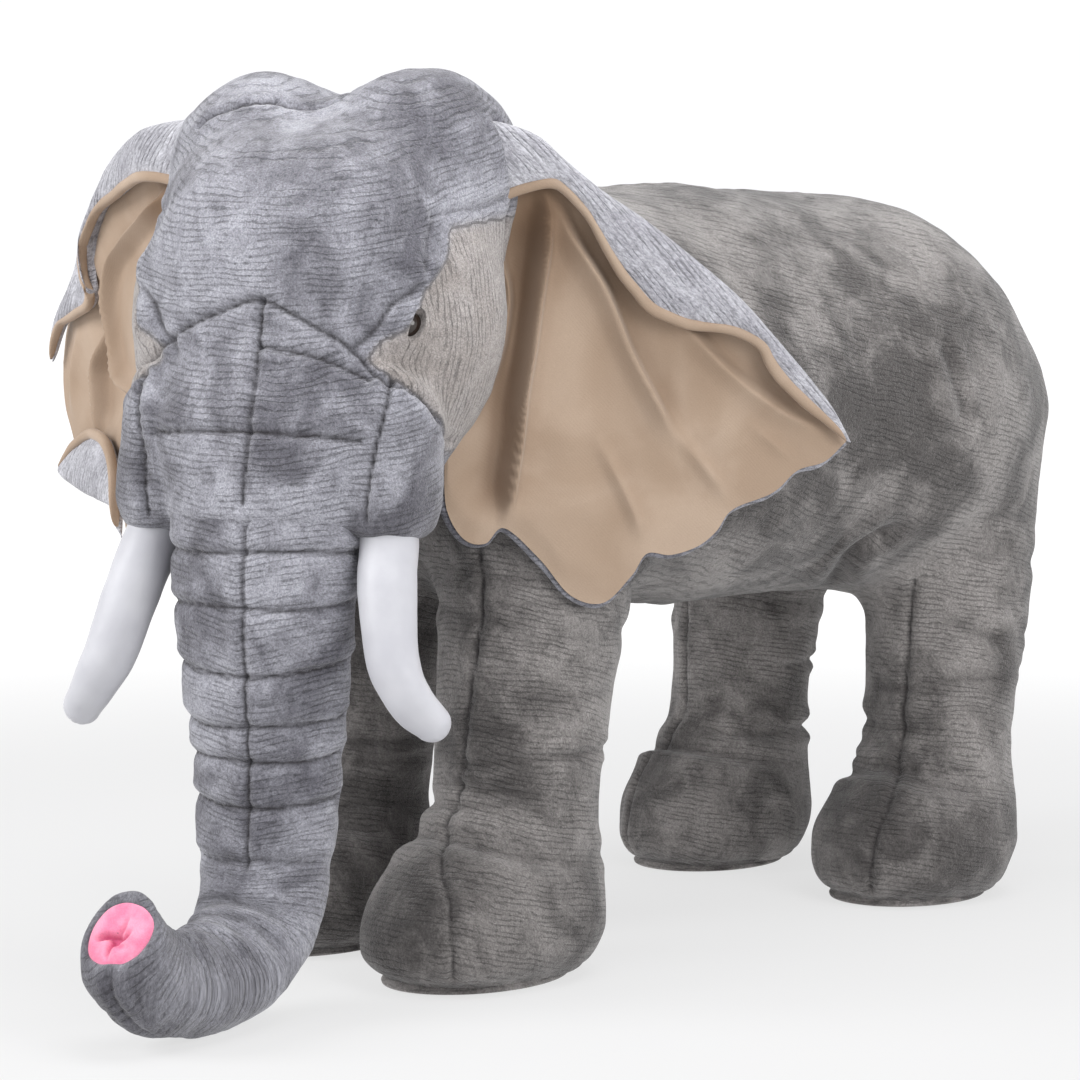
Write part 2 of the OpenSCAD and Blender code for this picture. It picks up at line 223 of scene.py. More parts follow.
def tube(p, stations):
    """A tapered tube through stations (left, back, up, half width, half depth)."""
    line = smooth_line(stations, 4)
    best = np.full(p[0].shape, 1e9, np.float32)
    found = [np.zeros(p[0].shape, np.float32) for _ in range(3)]
    for a, b in zip(line[:-1], line[1:]):
        step = b - a
        length = step[1] ** 2 + step[2] ** 2
        t = ((p[1] - a[1]) * step[1] + (p[2] - a[2]) * step[2]) / length
        t = np.clip(t, 0, 1)
        across = (p[1] - a[1] - t * step[1]) ** 2 + (p[2] - a[2] - t * step[2]) ** 2
        nearer = across < best
        best = np.where(nearer, across, best)
        found[0] = np.where(nearer, a[0] + t * step[0], found[0])
        found[1] = np.where(nearer, a[3] + t * step[3], found[1])
        found[2] = np.where(nearer, a[4] + t * step[4], found[2])
    wide = (p[0] - found[0]) / found[1]
    deep = np.sqrt(best) / found[2]
    near = np.sqrt(wide**2 + deep**2) + 1e-6
    far = np.sqrt((wide / found[1]) ** 2 + (deep / found[2]) ** 2) + 1e-6
    return near * (near - 1) / far


def smooth_line(knots, per_span=12):
    """Points of a smooth curve through the knots."""
    knots = np.asarray(knots, float)
    ends = np.vstack([2 * knots[0] - knots[1], knots, 2 * knots[-1] - knots[-2]])
    made = []
    for i in range(len(knots) - 1):
        p0, p1, p2, p3 = ends[i:i + 4]
        for t in np.arange(per_span) / per_span:
            made.append(0.5 * (2 * p1 + (p2 - p0) * t + (2 * p0 - 5 * p1 + 4 * p2 - p3) * t * t
                               + (3 * p1 - p0 - 3 * p2 + p3) * t**3))
    made.append(knots[-1])
    return np.array(made)


# ---- The body's field ----

def torso_field(p):
    d = pair(p, (0.054, 0.252, 0.463), (0.174, 0.188, 0.181), 0.05)
    d = soft_union(d, ellipsoid(p, (0, 0.060, 0.470), (0.200, 0.225, 0.189)), 0.07)
    d = soft_union(d, pair(p, (0.038, -0.110, 0.475), (0.152, 0.140, 0.172), 0.04), 0.06)
    d = soft_union(d, ellipsoid(p, (0, -0.180, 0.428), (0.140, 0.108, 0.122)), 0.04)
    return d


def leg_field(p, x, y, toe):
    """One leg: a column that bulges into a foot, which reaches forward to its toe."""
    column = tube(p, [
        (x * 0.86, y + 0.040, 0.440, 0.078, 0.092),
        (x * 0.93, y + 0.020, 0.330, 0.076, 0.086),
        (x * 0.99, y + 0.004, 0.230, 0.071, 0.074),
        (x, y - 0.004, 0.150, 0.069, 0.068),
        (x, y - 0.004, 0.095, 0.070, 0.066),
        (x, y - 0.004, 0.060, 0.066, 0.060),
    ])
    heel = ellipsoid(p, (x, y - 0.018, 0.050), (0.078, 0.068, 0.060))
    ball = ellipsoid(p, (x, y - toe + 0.073, 0.042), (0.073, 0.071, 0.050))
    bridge = ellipsoid(p, (x, y - 0.050, 0.066), (0.073, 0.076, 0.062))
    foot = soft_union(soft_union(heel, ball, 0.03), bridge, 0.03)
    sole = ellipsoid(p, (x, y - (toe - 0.046) / 2, 0.030), (0.077, (toe + 0.046) / 2, 0.038))
    foot = soft_union(foot, sole, 0.012)
    return soft_union(column, foot, 0.040)


LEGS = {
    "front_left": (FRONT_LEG[0], FRONT_LEG[1], 0.152),
    "front_right": (-FRONT_LEG[0], FRONT_LEG[1], 0.152),
    "rear_left": (REAR_LEG[0], REAR_LEG[1], 0.140),
    "rear_right": (-REAR_LEG[0], REAR_LEG[1], 0.140),
}


def body_field(p):
    d = torso_field(p)
    for x, y, toe in LEGS.values():
        low = (x - 0.13, y - toe - 0.05, -0.1)
        high = (x + 0.13, y + 0.18, 0.55)
        leg = local(p, low, high, lambda q, leg=(x, y, toe): leg_field(q, *leg))
        d = soft_union(d, leg, 0.034)
    # The soles are flat: nothing reaches below them
    return soft_cut(d, p[2] - SOLE_TOP, 0.006)


# ---- The head's field ----

# Stations of the whole trunk, from between the eyes to its upturned end
TRUNK = [
    (0, -0.140, 0.560, 0.078, 0.050),
    (0, -0.160, 0.500, 0.083, 0.056),
    (0, -0.180, 0.440, 0.085, 0.058),
    (0, -0.188, 0.395, 0.083, 0.057),
    (0, -0.194, 0.315, 0.073, 0.053),
    (0, -0.190, 0.225, 0.063, 0.048),
    (0, -0.192, 0.150, 0.055, 0.046),
    (0, -0.198, 0.104, 0.050, 0.045),
    (-0.002, -0.212, 0.070, 0.047, 0.043),
    (-0.008, -0.246, 0.047, 0.043, 0.041),
    (-0.018, -0.292, 0.040, 0.039, 0.039),
    (-0.032, -0.338, 0.052, 0.039, 0.039),
    (-0.044, -0.364, 0.088, 0.038, 0.038),
    (-0.048, -0.372, 0.112, 0.037, 0.037),
]
# The top of the stuffed trunk itself, which sits inside the face
TRUNK_ROOT = [(0, -0.166, 0.455, 0.064, 0.040), (0, -0.180, 0.425, 0.072, 0.048),
              (0, -0.188, 0.390, 0.079, 0.054)]
# The middle of the trunk's end, and the way it faces
TRUNK_END = np.array([-0.044, -0.364, 0.093])
TRUNK_END_OUT = np.array([-0.17, -0.80, 0.57])
TRUNK_END_OUT /= np.linalg.norm(TRUNK_END_OUT)
# Heights of the seams across the trunk, the first of them where it leaves the face
CROSS_SEAMS = [0.411, 0.363, 0.323, 0.276, 0.233, 0.204, 0.168, 0.122]
FACE_END = 0.392
# The stations that also shape the face
FACE = TRUNK[:6]
# The lower lip: its middle and its half sizes
LIP = ((0, -0.078, 0.376), (0.046, 0.046, 0.034))


def skull_field(p):
    d = pair(p, (0.067, -0.030, 0.657), (0.082, 0.088, 0.088), 0.044)
    d = soft_union(d, pair(p, (0.066, -0.082, 0.548), (0.086, 0.092, 0.112), 0.05), 0.035)
    d = soft_union(d, pair(p, (0.040, -0.112, 0.590), (0.082, 0.082, 0.100), 0.05), 0.035)
    d = soft_union(d, pair(p, (0.056, -0.100, 0.510), (0.080, 0.082, 0.084), 0.05), 0.03)
    return soft_union(d, pair(p, (0.048, -0.135, 0.445), (0.068, 0.082, 0.082), 0.04), 0.03)


def pad_field(p):
    """The two padded panels beside the trunk that hold the tusks."""
    d = pair(p, (0.095, -0.158, 0.466), (0.037, 0.047, 0.044), 0.01)
    return soft_union(d, pair(p, (0.098, -0.168, 0.408), (0.037, 0.047, 0.048), 0.01), 0.03)


# The padded fold over the left eye: a roll that slopes down towards the trunk, with its radius
BROW_ROLL = [(0.080, -0.176, 0.532, 0.0095), (0.100, -0.165, 0.556, 0.0115),
             (0.119, -0.145, 0.588, 0.0090)]


def brow_field(p):
    """The padded folds over the eyes."""
    q = [np.abs(p[0]), p[1], p[2]]
    d = np.full(p[0].shape, FAR, np.float32)
    for a, b in zip(BROW_ROLL[:-1], BROW_ROLL[1:]):
        step = [b[i] - a[i] for i in range(3)]
        length = sum(c * c for c in step)
        t = np.clip(sum((q[i] - a[i]) * step[i] for i in range(3)) / length, 0, 1)
        away = np.sqrt(sum((q[i] - a[i] - t * step[i]) ** 2 for i in range(3)))
        d = np.minimum(d, away - a[3] - t * (b[3] - a[3]))
    return d


# The middle of the left eye, and the way it looks
EYE_AT = np.array([0.107, -0.160, 0.541])
EYE_OUT = np.array([0.80, -0.60, 0.05])
EYE_OUT /= np.linalg.norm(EYE_OUT)


def slit_field(p):
    """The narrow openings that the eyes look out of, leaning back at their tops."""
    back = np.cross(UP, EYE_OUT)
    along = 0.90 * np.cross(EYE_OUT, back) + 0.43 * back
    across = np.cross(along, EYE_OUT)
    middle = EYE_AT + 0.014 * EYE_OUT
    q = [np.abs(p[0]) - middle[0], p[1] - middle[1], p[2] - middle[2]]
    turned = [sum(q[i] * axis[i] for i in range(3)) for axis in (EYE_OUT, across, along)]
    return ellipsoid(turned, (0, 0, 0), (0.0095, 0.0046, 0.0122))


def head_field(p):
    d = skull_field(p)
    face = soft_cut(tube(p, FACE), p[2] - FACE_END + 0.006, 0.016)
    d = soft_union(d, face, 0.030)
    d = soft_union(d, soft_cut(pad_field(p), p[2] - 0.374, 0.012), 0.010)
    d = soft_union(d, ellipsoid(p, *LIP), 0.012)
    d = soft_union(d, brow_field(p), 0.006)
    d = soft_union(d, pair(p, EYE_AT + 0.0005 * EYE_OUT, (0.0152, 0.0152, 0.0160), 0.001), 0.018)
    return soft_cut(d, slit_field(p), 0.0015)


def trunk_field(p):
    hanging = soft_cut(tube(p, TRUNK_ROOT + TRUNK[4:11]), 0.452 - p[2], 0.02)
    to_end = sum((TRUNK_END[i] - p[i]) * TRUNK_END_OUT[i] for i in range(3))
    curl = soft_cut(tube(p, TRUNK[8:]), to_end, 0.016)
    d = soft_union(hanging, curl, 0.004)
    # A cup for the nostril pad
    cup = TRUNK_END + 0.004 * TRUNK_END_OUT
    return soft_cut(d, ellipsoid(p, cup, (0.0285, 0.0200, 0.0275)), 0.006)


# ---- Surfaces from fields ----

def field_at(field, points):
    p = np.asarray(points, np.float32)
    return field([p[:, 0], p[:, 1], p[:, 2]])


def normals_at(field, points):
    """The outward direction of the field at points."""
    step = 0.0012
    slope = np.empty((len(points), 3))
    for axis in range(3):
        shift = np.zeros(3)
        shift[axis] = step
        slope[:, axis] = field_at(field, points + shift) - field_at(field, points - shift)
    return slope / (np.linalg.norm(slope, axis=1, keepdims=True) + 1e-9)


def onto(field, points, turns=3):
    """Moves points onto the field's surface."""
    points = np.asarray(points, float)
    for _ in range(turns):
        points = points - field_at(field, points)[:, None] * normals_at(field, points)
    return points


def surface(field, low, high, voxel):
    """Points and quads of a field's surface inside a box."""
    low = np.array(low, float)
    counts = np.ceil((np.array(high, float) - low) / voxel).astype(int) + 1
    axes = [(low[i] + np.arange(counts[i]) * voxel).astype(np.float32) for i in range(3)]
    values = np.empty(counts, np.float32)
    slab = 24
    for start in range(0, counts[0], slab):
        p = np.meshgrid(axes[0][start:start + slab], axes[1], axes[2], indexing="ij")
        values[start:start + slab] = field(p)
    limit = 4 * voxel
    grid = openvdb.FloatGrid(limit)
    grid.copyFromArray(np.clip(values, -limit, limit))
    points, quads = grid.convertToQuads(0.0)
    points = onto(field, points.astype(float) * voxel + low, 2)
    a, b, c, d = (points[quads[:, k]] for k in range(4))
    volume = np.einsum("ij,ij->i", a, np.cross(b, c)) + np.einsum("ij,ij->i", a, np.cross(c, d))
    if volume.sum() < 0:
        quads = quads[:, ::-1]
    return points, quads.astype(np.int64)


def run_along(line):
    """The distance along a line to each of its points."""
    steps = np.linalg.norm(np.diff(line, axis=0), axis=1)
    return np.concatenate([[0], np.cumsum(steps)])


def distance_to(points, line, reach=0.03):
    """How far each point is from a line of points, and how far along the nearest place is.

    Points that are further than the reach from the line's box count as 1 m away.
    """
    line = np.asarray(line, float)
    best = np.full(len(points), 1.0)
    along = np.zeros(len(points))
    low, high = line.min(0) - reach, line.max(0) + reach
    near = np.flatnonzero(((points > low) & (points < high)).all(1))
    p = points[near]
    close = np.full(len(p), 1.0)
    place = np.zeros(len(p))
    run = 0.0
    for a, b in zip(line[:-1], line[1:]):
        step = b - a
        length = np.linalg.norm(step) + 1e-9
        t = np.clip((p - a) @ step / length**2, 0, 1)
        d = np.linalg.norm(p - a - t[:, None] * step, axis=1)
        nearer = d < close
        close = np.where(nearer, d, close)
        place = np.where(nearer, run + t * length, place)
        run += length
    best[near] = close
    along[near] = place
    return best, along


# Stitches of a seam pull it in at this spacing
STITCH = 0.011


class Skin:
    """A plush surface while it is shaped: its points, how far each is pushed out, and what the
    material reads there."""

    def __init__(self, field, low, high, voxel):
        self.field = field
        self.points, self.quads = surface(field, low, high, voxel)
        self.normal = normals_at(field, self.points)
        self.rest = self.points.copy()
        self.lift = np.zeros(len(self.points))
        self.shade = np.zeros(len(self.points))
        self.flow = self.points.copy()
        self.patch = np.zeros(len(self.points))

    def seam(self, knots, width=0.0030, depth=0.0030, shade=1.0, swell=0.0012, raw=False):
        """A stitched seam: a narrow groove between two soft shoulders."""
        line = knots if raw else onto(self.field, smooth_line(knots))
        d, along = distance_to(self.points, line)
        pull = 1 + 0.25 * np.sin(along * 2 * math.pi / STITCH)
        self.lift -= depth * pull * np.exp(-((d / width) ** 2))
        self.lift += swell * bump_at(d, 3.2 * width, 1.6 * width)
        self.darken(shade * np.exp(-((d / (0.55 * width)) ** 2)))

    def crease(self, knots, width=0.008, depth=0.004, shade=0.45, swell=0.002):
        """A soft fold in the plush, which fades out at its ends."""
        line = onto(self.field, smooth_line(knots))
        d, along = distance_to(self.points, line)
        total = run_along(line)[-1]
        fade = ramp(along, 0, 0.25 * total) * ramp(total - along, 0, 0.25 * total)
        self.lift -= depth * fade * np.exp(-((d / width) ** 2))
        self.lift += swell * fade * bump_at(d, 2.2 * width, 1.2 * width)
        # Painted shade along the bottom of the fold
        self.darken(shade * fade * np.exp(-((d / (0.5 * width)) ** 2)))

    def darken(self, shade):
        self.shade = np.maximum(self.shade, shade)

    def settle(self):
        """Moves the points to where they are pushed."""
        self.points = self.points + self.normal * self.lift[:, None]

    def piece(self, name, place, material, faces=None):
        """The faces as an object of their own, its points put in the row frame by place."""
        quads = self.quads if faces is None else self.quads[faces]
        used, index = np.unique(quads, return_inverse=True)
        index = index.reshape(quads.shape)
        extra = {"shade": self.shade[used], "patch": self.patch[used], "flow": self.flow[used]}
        return mesh_piece(name, place(self.points[used]), index, material, extra)


# ---- Meshes ----

def mesh_piece(name, points, faces, material, extra=None):
    """A smooth-shaded object, with an attribute for each entry of extra."""
    faces = np.asarray(faces)
    mesh = bpy.data.meshes.new(name)
    mesh.vertices.add(len(points))
    mesh.vertices.foreach_set("co", np.asarray(points, np.float32).ravel())
    corners = faces.shape[1]
    mesh.loops.add(faces.size)
    mesh.loops.foreach_set("vertex_index", faces.astype(np.int32).ravel())
    mesh.polygons.add(len(faces))
    mesh.polygons.foreach_set("loop_start", (np.arange(len(faces)) * corners).astype(np.int32))
    mesh.update(calc_edges=True)
    mesh.polygons.foreach_set("use_smooth", np.full(len(faces), True))
    for key, values in (extra or {}).items():
        values = np.asarray(values, np.float32)
        kind = "FLOAT" if values.ndim == 1 else "FLOAT_VECTOR"
        attribute = mesh.attributes.new(key, kind, "POINT")
        attribute.data.foreach_set("value" if values.ndim == 1 else "vector", values.ravel())
    mesh.materials.append(material)
    obj = bpy.data.objects.new(name, mesh)
    bpy.context.scene.collection.objects.link(obj)
    return obj


def unshaded(flow):
    """What the plush material reads where neither a seam nor painted shade darkens it, and it is not
    beige.
    """
    return {"flow": flow, "shade": np.zeros(len(flow)), "patch": np.zeros(len(flow))}


def grid_faces(rows, columns, closed=False):
    """Quads between neighbouring points of a grid; closed joins the last column to the first."""
    i, j = np.meshgrid(np.arange(rows - 1), np.arange(columns - (not closed)), indexing="ij")
    n = (j + 1) % columns
    this, after = i * columns, (i + 1) * columns
    return np.stack([this + j, this + n, after + n, after + j], -1).reshape(-1, 4)


def once_round(sides):
    """Evenly spaced angles of a full turn."""
    return np.arange(sides) * 2 * math.pi / sides


def ring(turns, across, up):
    """Points of a circle of radius 1 at these angles, between two axes."""
    return np.cos(turns)[:, None] * across + np.sin(turns)[:, None] * up


def frames_along(line):
    """Direction and two axes across it at each point of a line, without twist."""
    along = np.gradient(line, axis=0)
    along /= np.linalg.norm(along, axis=1, keepdims=True)
    first = np.cross(along[0], UP)
    if np.linalg.norm(first) < 0.1:
        first = np.cross(along[0], (1.0, 0, 0))
    across = [first / np.linalg.norm(first)]
    for direction in along[1:]:
        side = across[-1] - direction * (across[-1] @ direction)
        across.append(side / np.linalg.norm(side))
    across = np.array(across)
    return along, across, np.cross(along, across)


def rod(line, radii, sides):
    """Points and quads of a rod along a line, closed at its ends."""
    _, across, up = frames_along(line)
    turns = once_round(sides)
    rings = [np.tile(line[0], (sides, 1))]
    for at, a, u, radius in zip(line, across, up, radii):
        rings.append(at + ring(turns, a, u) * radius)
    rings.append(np.tile(line[-1], (sides, 1)))
    points = np.concatenate(rings)
    return points, grid_faces(len(rings), sides, closed=True)[:, ::-1]


def join(parts):
    """Several (points, quads) as one."""
    points, faces, start = [], [], 0
    for p, f in parts:
        points.append(p)
        faces.append(f + start)
        start += len(p)
    return np.concatenate(points), np.concatenate(faces)


def weld(obj):
    """Joins points that lie on each other, so that no face has an edge of no length."""
    work = bmesh.new()
    work.from_mesh(obj.data)
    bmesh.ops.remove_doubles(work, verts=work.verts, dist=1e-5)
    work.to_mesh(obj.data)
    work.free()
    return obj


# ---- Materials ----

class Paint:
    """A procedural material while its nodes are put together."""

    def __init__(self, name, **shader):
        self.material = bpy.data.materials.new(name)
        self.material.use_nodes = True
        self.tree = self.material.node_tree
        self.shader = self.tree.nodes["Principled BSDF"]
        for key, value in shader.items():
            self.shader.inputs[key.replace("_", " ")].default_value = value

    def add(self, kind, settings=None, **inputs):
        node = self.tree.nodes.new("ShaderNode" + kind)
        for key, value in (settings or {}).items():
            setattr(node, key, value)
        for key, value in inputs.items():
            # A socket is asked for by its name, or by its number after an underscore
            socket = int(key[1:]) if key[0] == "_" else key.replace("_", " ")
            self.feed(node.inputs[socket], value)
        return node

    def feed(self, socket, value):
        if isinstance(value, bpy.types.NodeSocket):
            self.tree.links.new(value, socket)
        elif isinstance(value, bpy.types.Node):
            self.tree.links.new(value.outputs[0], socket)
        else:
            socket.default_value = value

    def math(self, operation, a, b=0.5, clamp=False):
        return self.add("Math", {"operation": operation, "use_clamp": clamp}, _0=a, _1=b).outputs[0]

    def noise(self, place, scale, detail=2.0, rough=0.5, distortion=0.0):
        return self.add("TexNoise", Vector=place, Scale=scale, Detail=detail, Roughness=rough,
                        Distortion=distortion).outputs["Fac"]

    def spread(self, value, low, high, bottom=0.0, top=1.0):
        """The value carried smoothly from one range to another."""
        return self.add("MapRange", {"interpolation_type": "SMOOTHSTEP"}, Value=value, From_Min=low,
                        From_Max=high, To_Min=bottom, To_Max=top).outputs[0]

    def mix(self, factor, a, b, how="MIX"):
        settings = {"data_type": "RGBA", "blend_type": how}
        return self.add("Mix", settings, _0=factor, _6=a, _7=b).outputs[2]

    def dim(self, base, share):
        """The colour times a share of its brightness."""
        grey = self.add("CombineColor", Red=share, Green=share, Blue=share).outputs[0]
        return self.mix(1.0, base, grey, "MULTIPLY")

    def shaded(self, base, most, dark):
        """The colour, darkened where the mesh's shade attribute says so: dark seams, and painted shade.
        """
        return self.mix(self.math("MULTIPLY", self.read("shade"), most, True), base, dark)

    def set(self, name, value):
        self.feed(self.shader.inputs[name], value)

    def bump(self, height, distance, strength, below=None):
        node = self.add("Bump", Height=height, Distance=distance, Strength=strength)
        if below is not None:
            self.feed(node.inputs["Normal"], below)
        return node.outputs[0]

    def read(self, name, output="Fac"):
        return self.add("Attribute", {"attribute_name": name}).outputs[output]


def colour(r, g, b):
    """An sRGB colour of 0 to 255 as the linear colour that the shader takes."""
    made = [((c / 255 + 0.055) / 1.055) ** 2.4 for c in (r, g, b)]
    return (*made, 1.0)


BEIGE = colour(166, 158, 152)
# The dark of the seams, and of painted shade in creases, folds and low down, that the shade attribute
# mixes in
SEAM_AND_SHADE_DARK = colour(46, 43, 44)
# The crinkle lines' spacing, and how much painted shade darkens their grooves
LINE_GAP = 0.0047
LINE_PAINTED_SHADE = 0.36
# The wave texture's own period at scale 1
WAVE_PERIOD = 0.314


def plush(name, light, dark):
    """Short pile with embossed crinkle lines, patches of crushed pile and dark seams, with painted
    shade in the lines' grooves and where the shade attribute says so.
    """
    paint = Paint(name, Roughness=0.95, Sheen_Weight=0.30, Sheen_Roughness=0.45,
                  Specular_IOR_Level=0.10)
    flow = paint.read("flow", "Vector")
    across = WAVE_PERIOD / LINE_GAP
    stretched = paint.add("Mapping", Vector=flow, Scale=(17, 17, across)).outputs[0]
    wave = paint.add("TexWave", {"wave_type": "BANDS", "bands_direction": "Z"}, Vector=stretched,
                     Scale=1.0, Distortion=8.5, Detail=4.0, Detail_Scale=1.2,
                     Detail_Roughness=0.66).outputs["Fac"]
    broken = paint.spread(paint.noise(flow, 42, 3, 0.6), 0.36, 0.56)
    dips = paint.math("MULTIPLY", paint.spread(wave, 0.36, 0.0), broken)
    pile = paint.noise(flow, 680, 2, 0.75)
    clump = paint.noise(flow, 250, 3, 0.7, 0.7)
    wide = paint.noise(flow, 9, 2, 0.5, 0.5)
    patches = paint.math("ADD", wide, paint.math("MULTIPLY", paint.noise(flow, 27, 6, 0.66, 0.7), 0.85))
    base = paint.mix(paint.spread(patches, 0.72, 1.15), dark, light)
    patch = paint.read("patch")
    base = paint.mix(paint.math("MULTIPLY", patch, 0.7), base, BEIGE)
    fleck = paint.math("ADD", paint.spread(pile, 0.25, 0.75, 0.68, 1.30),
                       paint.spread(clump, 0.25, 0.75, -0.17, 0.17))
    base = paint.dim(base, fleck)
    # Painted shade in the grooves of the crinkle lines
    base = paint.dim(base, paint.math("SUBTRACT", 1.0, paint.math("MULTIPLY", dips, LINE_PAINTED_SHADE)))
    paint.set("Base Color", paint.shaded(base, 0.80, SEAM_AND_SHADE_DARK))
    lines = paint.bump(paint.math("SUBTRACT", 1.0, dips), 0.0015, 0.55)
    clumps = paint.bump(clump, 0.0022, 0.60, lines)
    paint.set("Normal", paint.bump(pile, 0.0013, 0.70, clumps))
    return paint.material


def velour(name, light, dark):
    """Smooth brushed lining with a faint twill and soft patches of turned nap."""
    paint = Paint(name, Roughness=0.80, Sheen_Weight=0.22, Sheen_Roughness=0.35,
                  Specular_IOR_Level=0.2)
    place = paint.read("flow", "Vector")
    nap = paint.noise(place, 9, 3, 0.5, 0.8)
    base = paint.mix(paint.spread(nap, 0.35, 0.68), dark, light)
    fibre = paint.noise(paint.add("Mapping", Vector=place, Scale=(900, 2600, 900)).outputs[0], 1.0, 2)
    base = paint.dim(base, paint.spread(fibre, 0.25, 0.75, 0.93, 1.05))
    # Painted shade, a warm brown, in the hollows beside the folds and in the pocket under the rim
    paint.set("Base Color", paint.shaded(base, 0.85, colour(104, 78, 56)))
    twill = paint.add("TexWave", {"bands_direction": "DIAGONAL"}, Vector=place, Scale=190,
                      Distortion=1.0).outputs["Fac"]
    first = paint.bump(twill, 0.0002, 0.25)
    paint.set("Normal", paint.bump(fibre, 0.0004, 0.35, first))
    return paint.material


def satin(name, light, dark):
    """Smooth white tusk cloth: a fine weave, faint wrinkles and a soft shine."""
    paint = Paint(name, Roughness=0.46, Sheen_Weight=0.25, Sheen_Roughness=0.3,
                  Specular_IOR_Level=0.35)
    place = paint.read("flow", "Vector")
    base = paint.mix(paint.spread(paint.noise(place, 24, 3), 0.3, 0.7), dark, light)
    # Darker along the seam, and painted shade in the puckers at the end
    paint.set("Base Color", paint.shaded(base, 0.7, colour(176, 172, 178)))
    weave = paint.add("TexWave", {"bands_direction": "Z"}, Vector=place, Scale=420,
                      Distortion=0.6).outputs["Fac"]
    first = paint.bump(weave, 0.0001, 0.2)
    paint.set("Normal", paint.bump(paint.noise(place, 60, 4), 0.0016, 0.25, first))
    return paint.material


def pink_plush(name):
    """The pile of the nostril pad, which has no crinkle lines."""
    paint = Paint(name, Roughness=0.9, Sheen_Weight=0.35, Sheen_Roughness=0.4,
                  Specular_IOR_Level=0.15)
    place = paint.read("flow", "Vector")
    pile = paint.noise(place, 700, 3, 0.7)
    base = paint.mix(paint.spread(paint.noise(place, 70, 2), 0.3, 0.7), colour(228, 124, 156),
                     colour(243, 156, 182))
    base = paint.dim(base, paint.spread(pile, 0.3, 0.7, 0.9, 1.06))
    # A deeper pink for the painted shade in the folds
    paint.set("Base Color", paint.shaded(base, 0.8, colour(190, 60, 110)))
    paint.set("Normal", paint.bump(pile, 0.0009, 0.5))
    return paint.material


def yarn(name, light, dark):
    """Loose strands of the tail's tuft."""
    paint = Paint(name, Roughness=0.88, Sheen_Weight=0.2, Specular_IOR_Level=0.15)
    place = paint.add("TexCoord").outputs["Object"]
    ply = paint.noise(paint.add("Mapping", Vector=place, Scale=(900, 900, 160)).outputs[0], 1.0, 2)
    paint.set("Base Color", paint.mix(paint.spread(ply, 0.3, 0.7), dark, light))
    paint.set("Normal", paint.bump(ply, 0.0005, 0.6))
    return paint.material


def hard(name, base, rough, metal=0.0, grain=(300, 300, 300), coat=0.0):
    """Steel, board and moulded plastic: a base colour with grain, small wear and a fine bump."""
    paint = Paint(name, Metallic=metal, Coat_Weight=coat, Coat_Roughness=0.05)
    place = paint.add("TexCoord").outputs["Object"]
    marks = paint.noise(paint.add("Mapping", Vector=place, Scale=grain).outputs[0], 1.0, 3)
    darker = tuple(c * 0.7 for c in base[:3]) + (1.0,)
    paint.set("Base Color", paint.mix(paint.spread(marks, 0.3, 0.7), darker, base))
    paint.set("Roughness", paint.spread(marks, 0.3, 0.7, rough * 0.8, rough * 1.2))
    paint.set("Normal", paint.bump(marks, 0.0002, 0.2))
    return paint.material


BODY_PLUSH = plush("body_plush", colour(143, 139, 137), colour(86, 83, 82))
HEAD_PLUSH = plush("head_plush", colour(159, 159, 167), colour(98, 97, 104))
# The head's plush made lighter for the rims folded over the ears: painted light, as the rims face up to
# the lamps
EAR_RIM_LIT_PLUSH = plush("ear_rim_lit_plush", colour(200, 200, 206), colour(158, 157, 164))
EAR_VELOUR = velour("ear_velour", colour(174, 154, 136), colour(160, 139, 120))
TUSK_SATIN = satin("tusk_satin", colour(192, 192, 197), colour(182, 182, 188))
NOSTRIL_PINK = pink_plush("nostril_plush")
TUFT_YARN = yarn("tuft_yarn", colour(96, 92, 92), colour(56, 53, 54))
STEEL = hard("frame_steel", (0.55, 0.56, 0.58, 1), 0.35, 1.0, (60, 60, 900))
BOARD = hard("foot_board", (0.05, 0.05, 0.055, 1), 0.6)
WASHER = hard("washer_plastic", (0.03, 0.03, 0.03, 1), 0.45)
EYE = hard("eye_plastic", (0.022, 0.012, 0.008, 1), 0.14, 0.0, (500, 500, 500), 0.35)


def declare(nodes):
    """Hides the CAD nodes that a piece stands for."""
    if nodes:
        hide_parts(*nodes)


def finish_piece(obj, body, slot, *nodes, fill=None):
    """A stuffed or plain piece that rides on one body."""
    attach(obj, body)
    declare(nodes)


def bend_piece(obj, a, b, start, end, slot, *nodes, fill=None):
    """A stuffed piece that spans two bodies. Its transform is baked into its points, and it rides on
    neither body.
    """
    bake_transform(obj)
    declare(nodes)


# ---- Body: torso and legs ----

# The seams down the front of the left legs and over their feet
FRONT_LEG_SEAM = [(0.109, -0.265, 0.372), (0.116, -0.268, 0.314), (0.112, -0.275, 0.253),
                  (0.107, -0.284, 0.176), (0.103, -0.290, 0.117), (0.122, -0.318, 0.088),
                  (0.145, -0.336, 0.072), (0.152, -0.340, 0.020)]
REAR_LEG_SEAM = [(0.140, 0.262, 0.300), (0.137, 0.252, 0.202), (0.137, 0.246, 0.150),
                 (0.142, 0.236, 0.112), (0.151, 0.212, 0.088), (0.153, 0.189, 0.062),
                 (0.150, 0.186, 0.018)]


def around_leg(x, y, height, start, sweep, tilt):
    """Points of a line around a leg at a height, from one angle over a sweep."""
    turns = start + np.linspace(0, sweep, 9)
    return np.stack([x + 0.08 * np.cos(turns), y + 0.085 * np.sin(turns),
                     height + tilt * np.cos(turns)], 1)


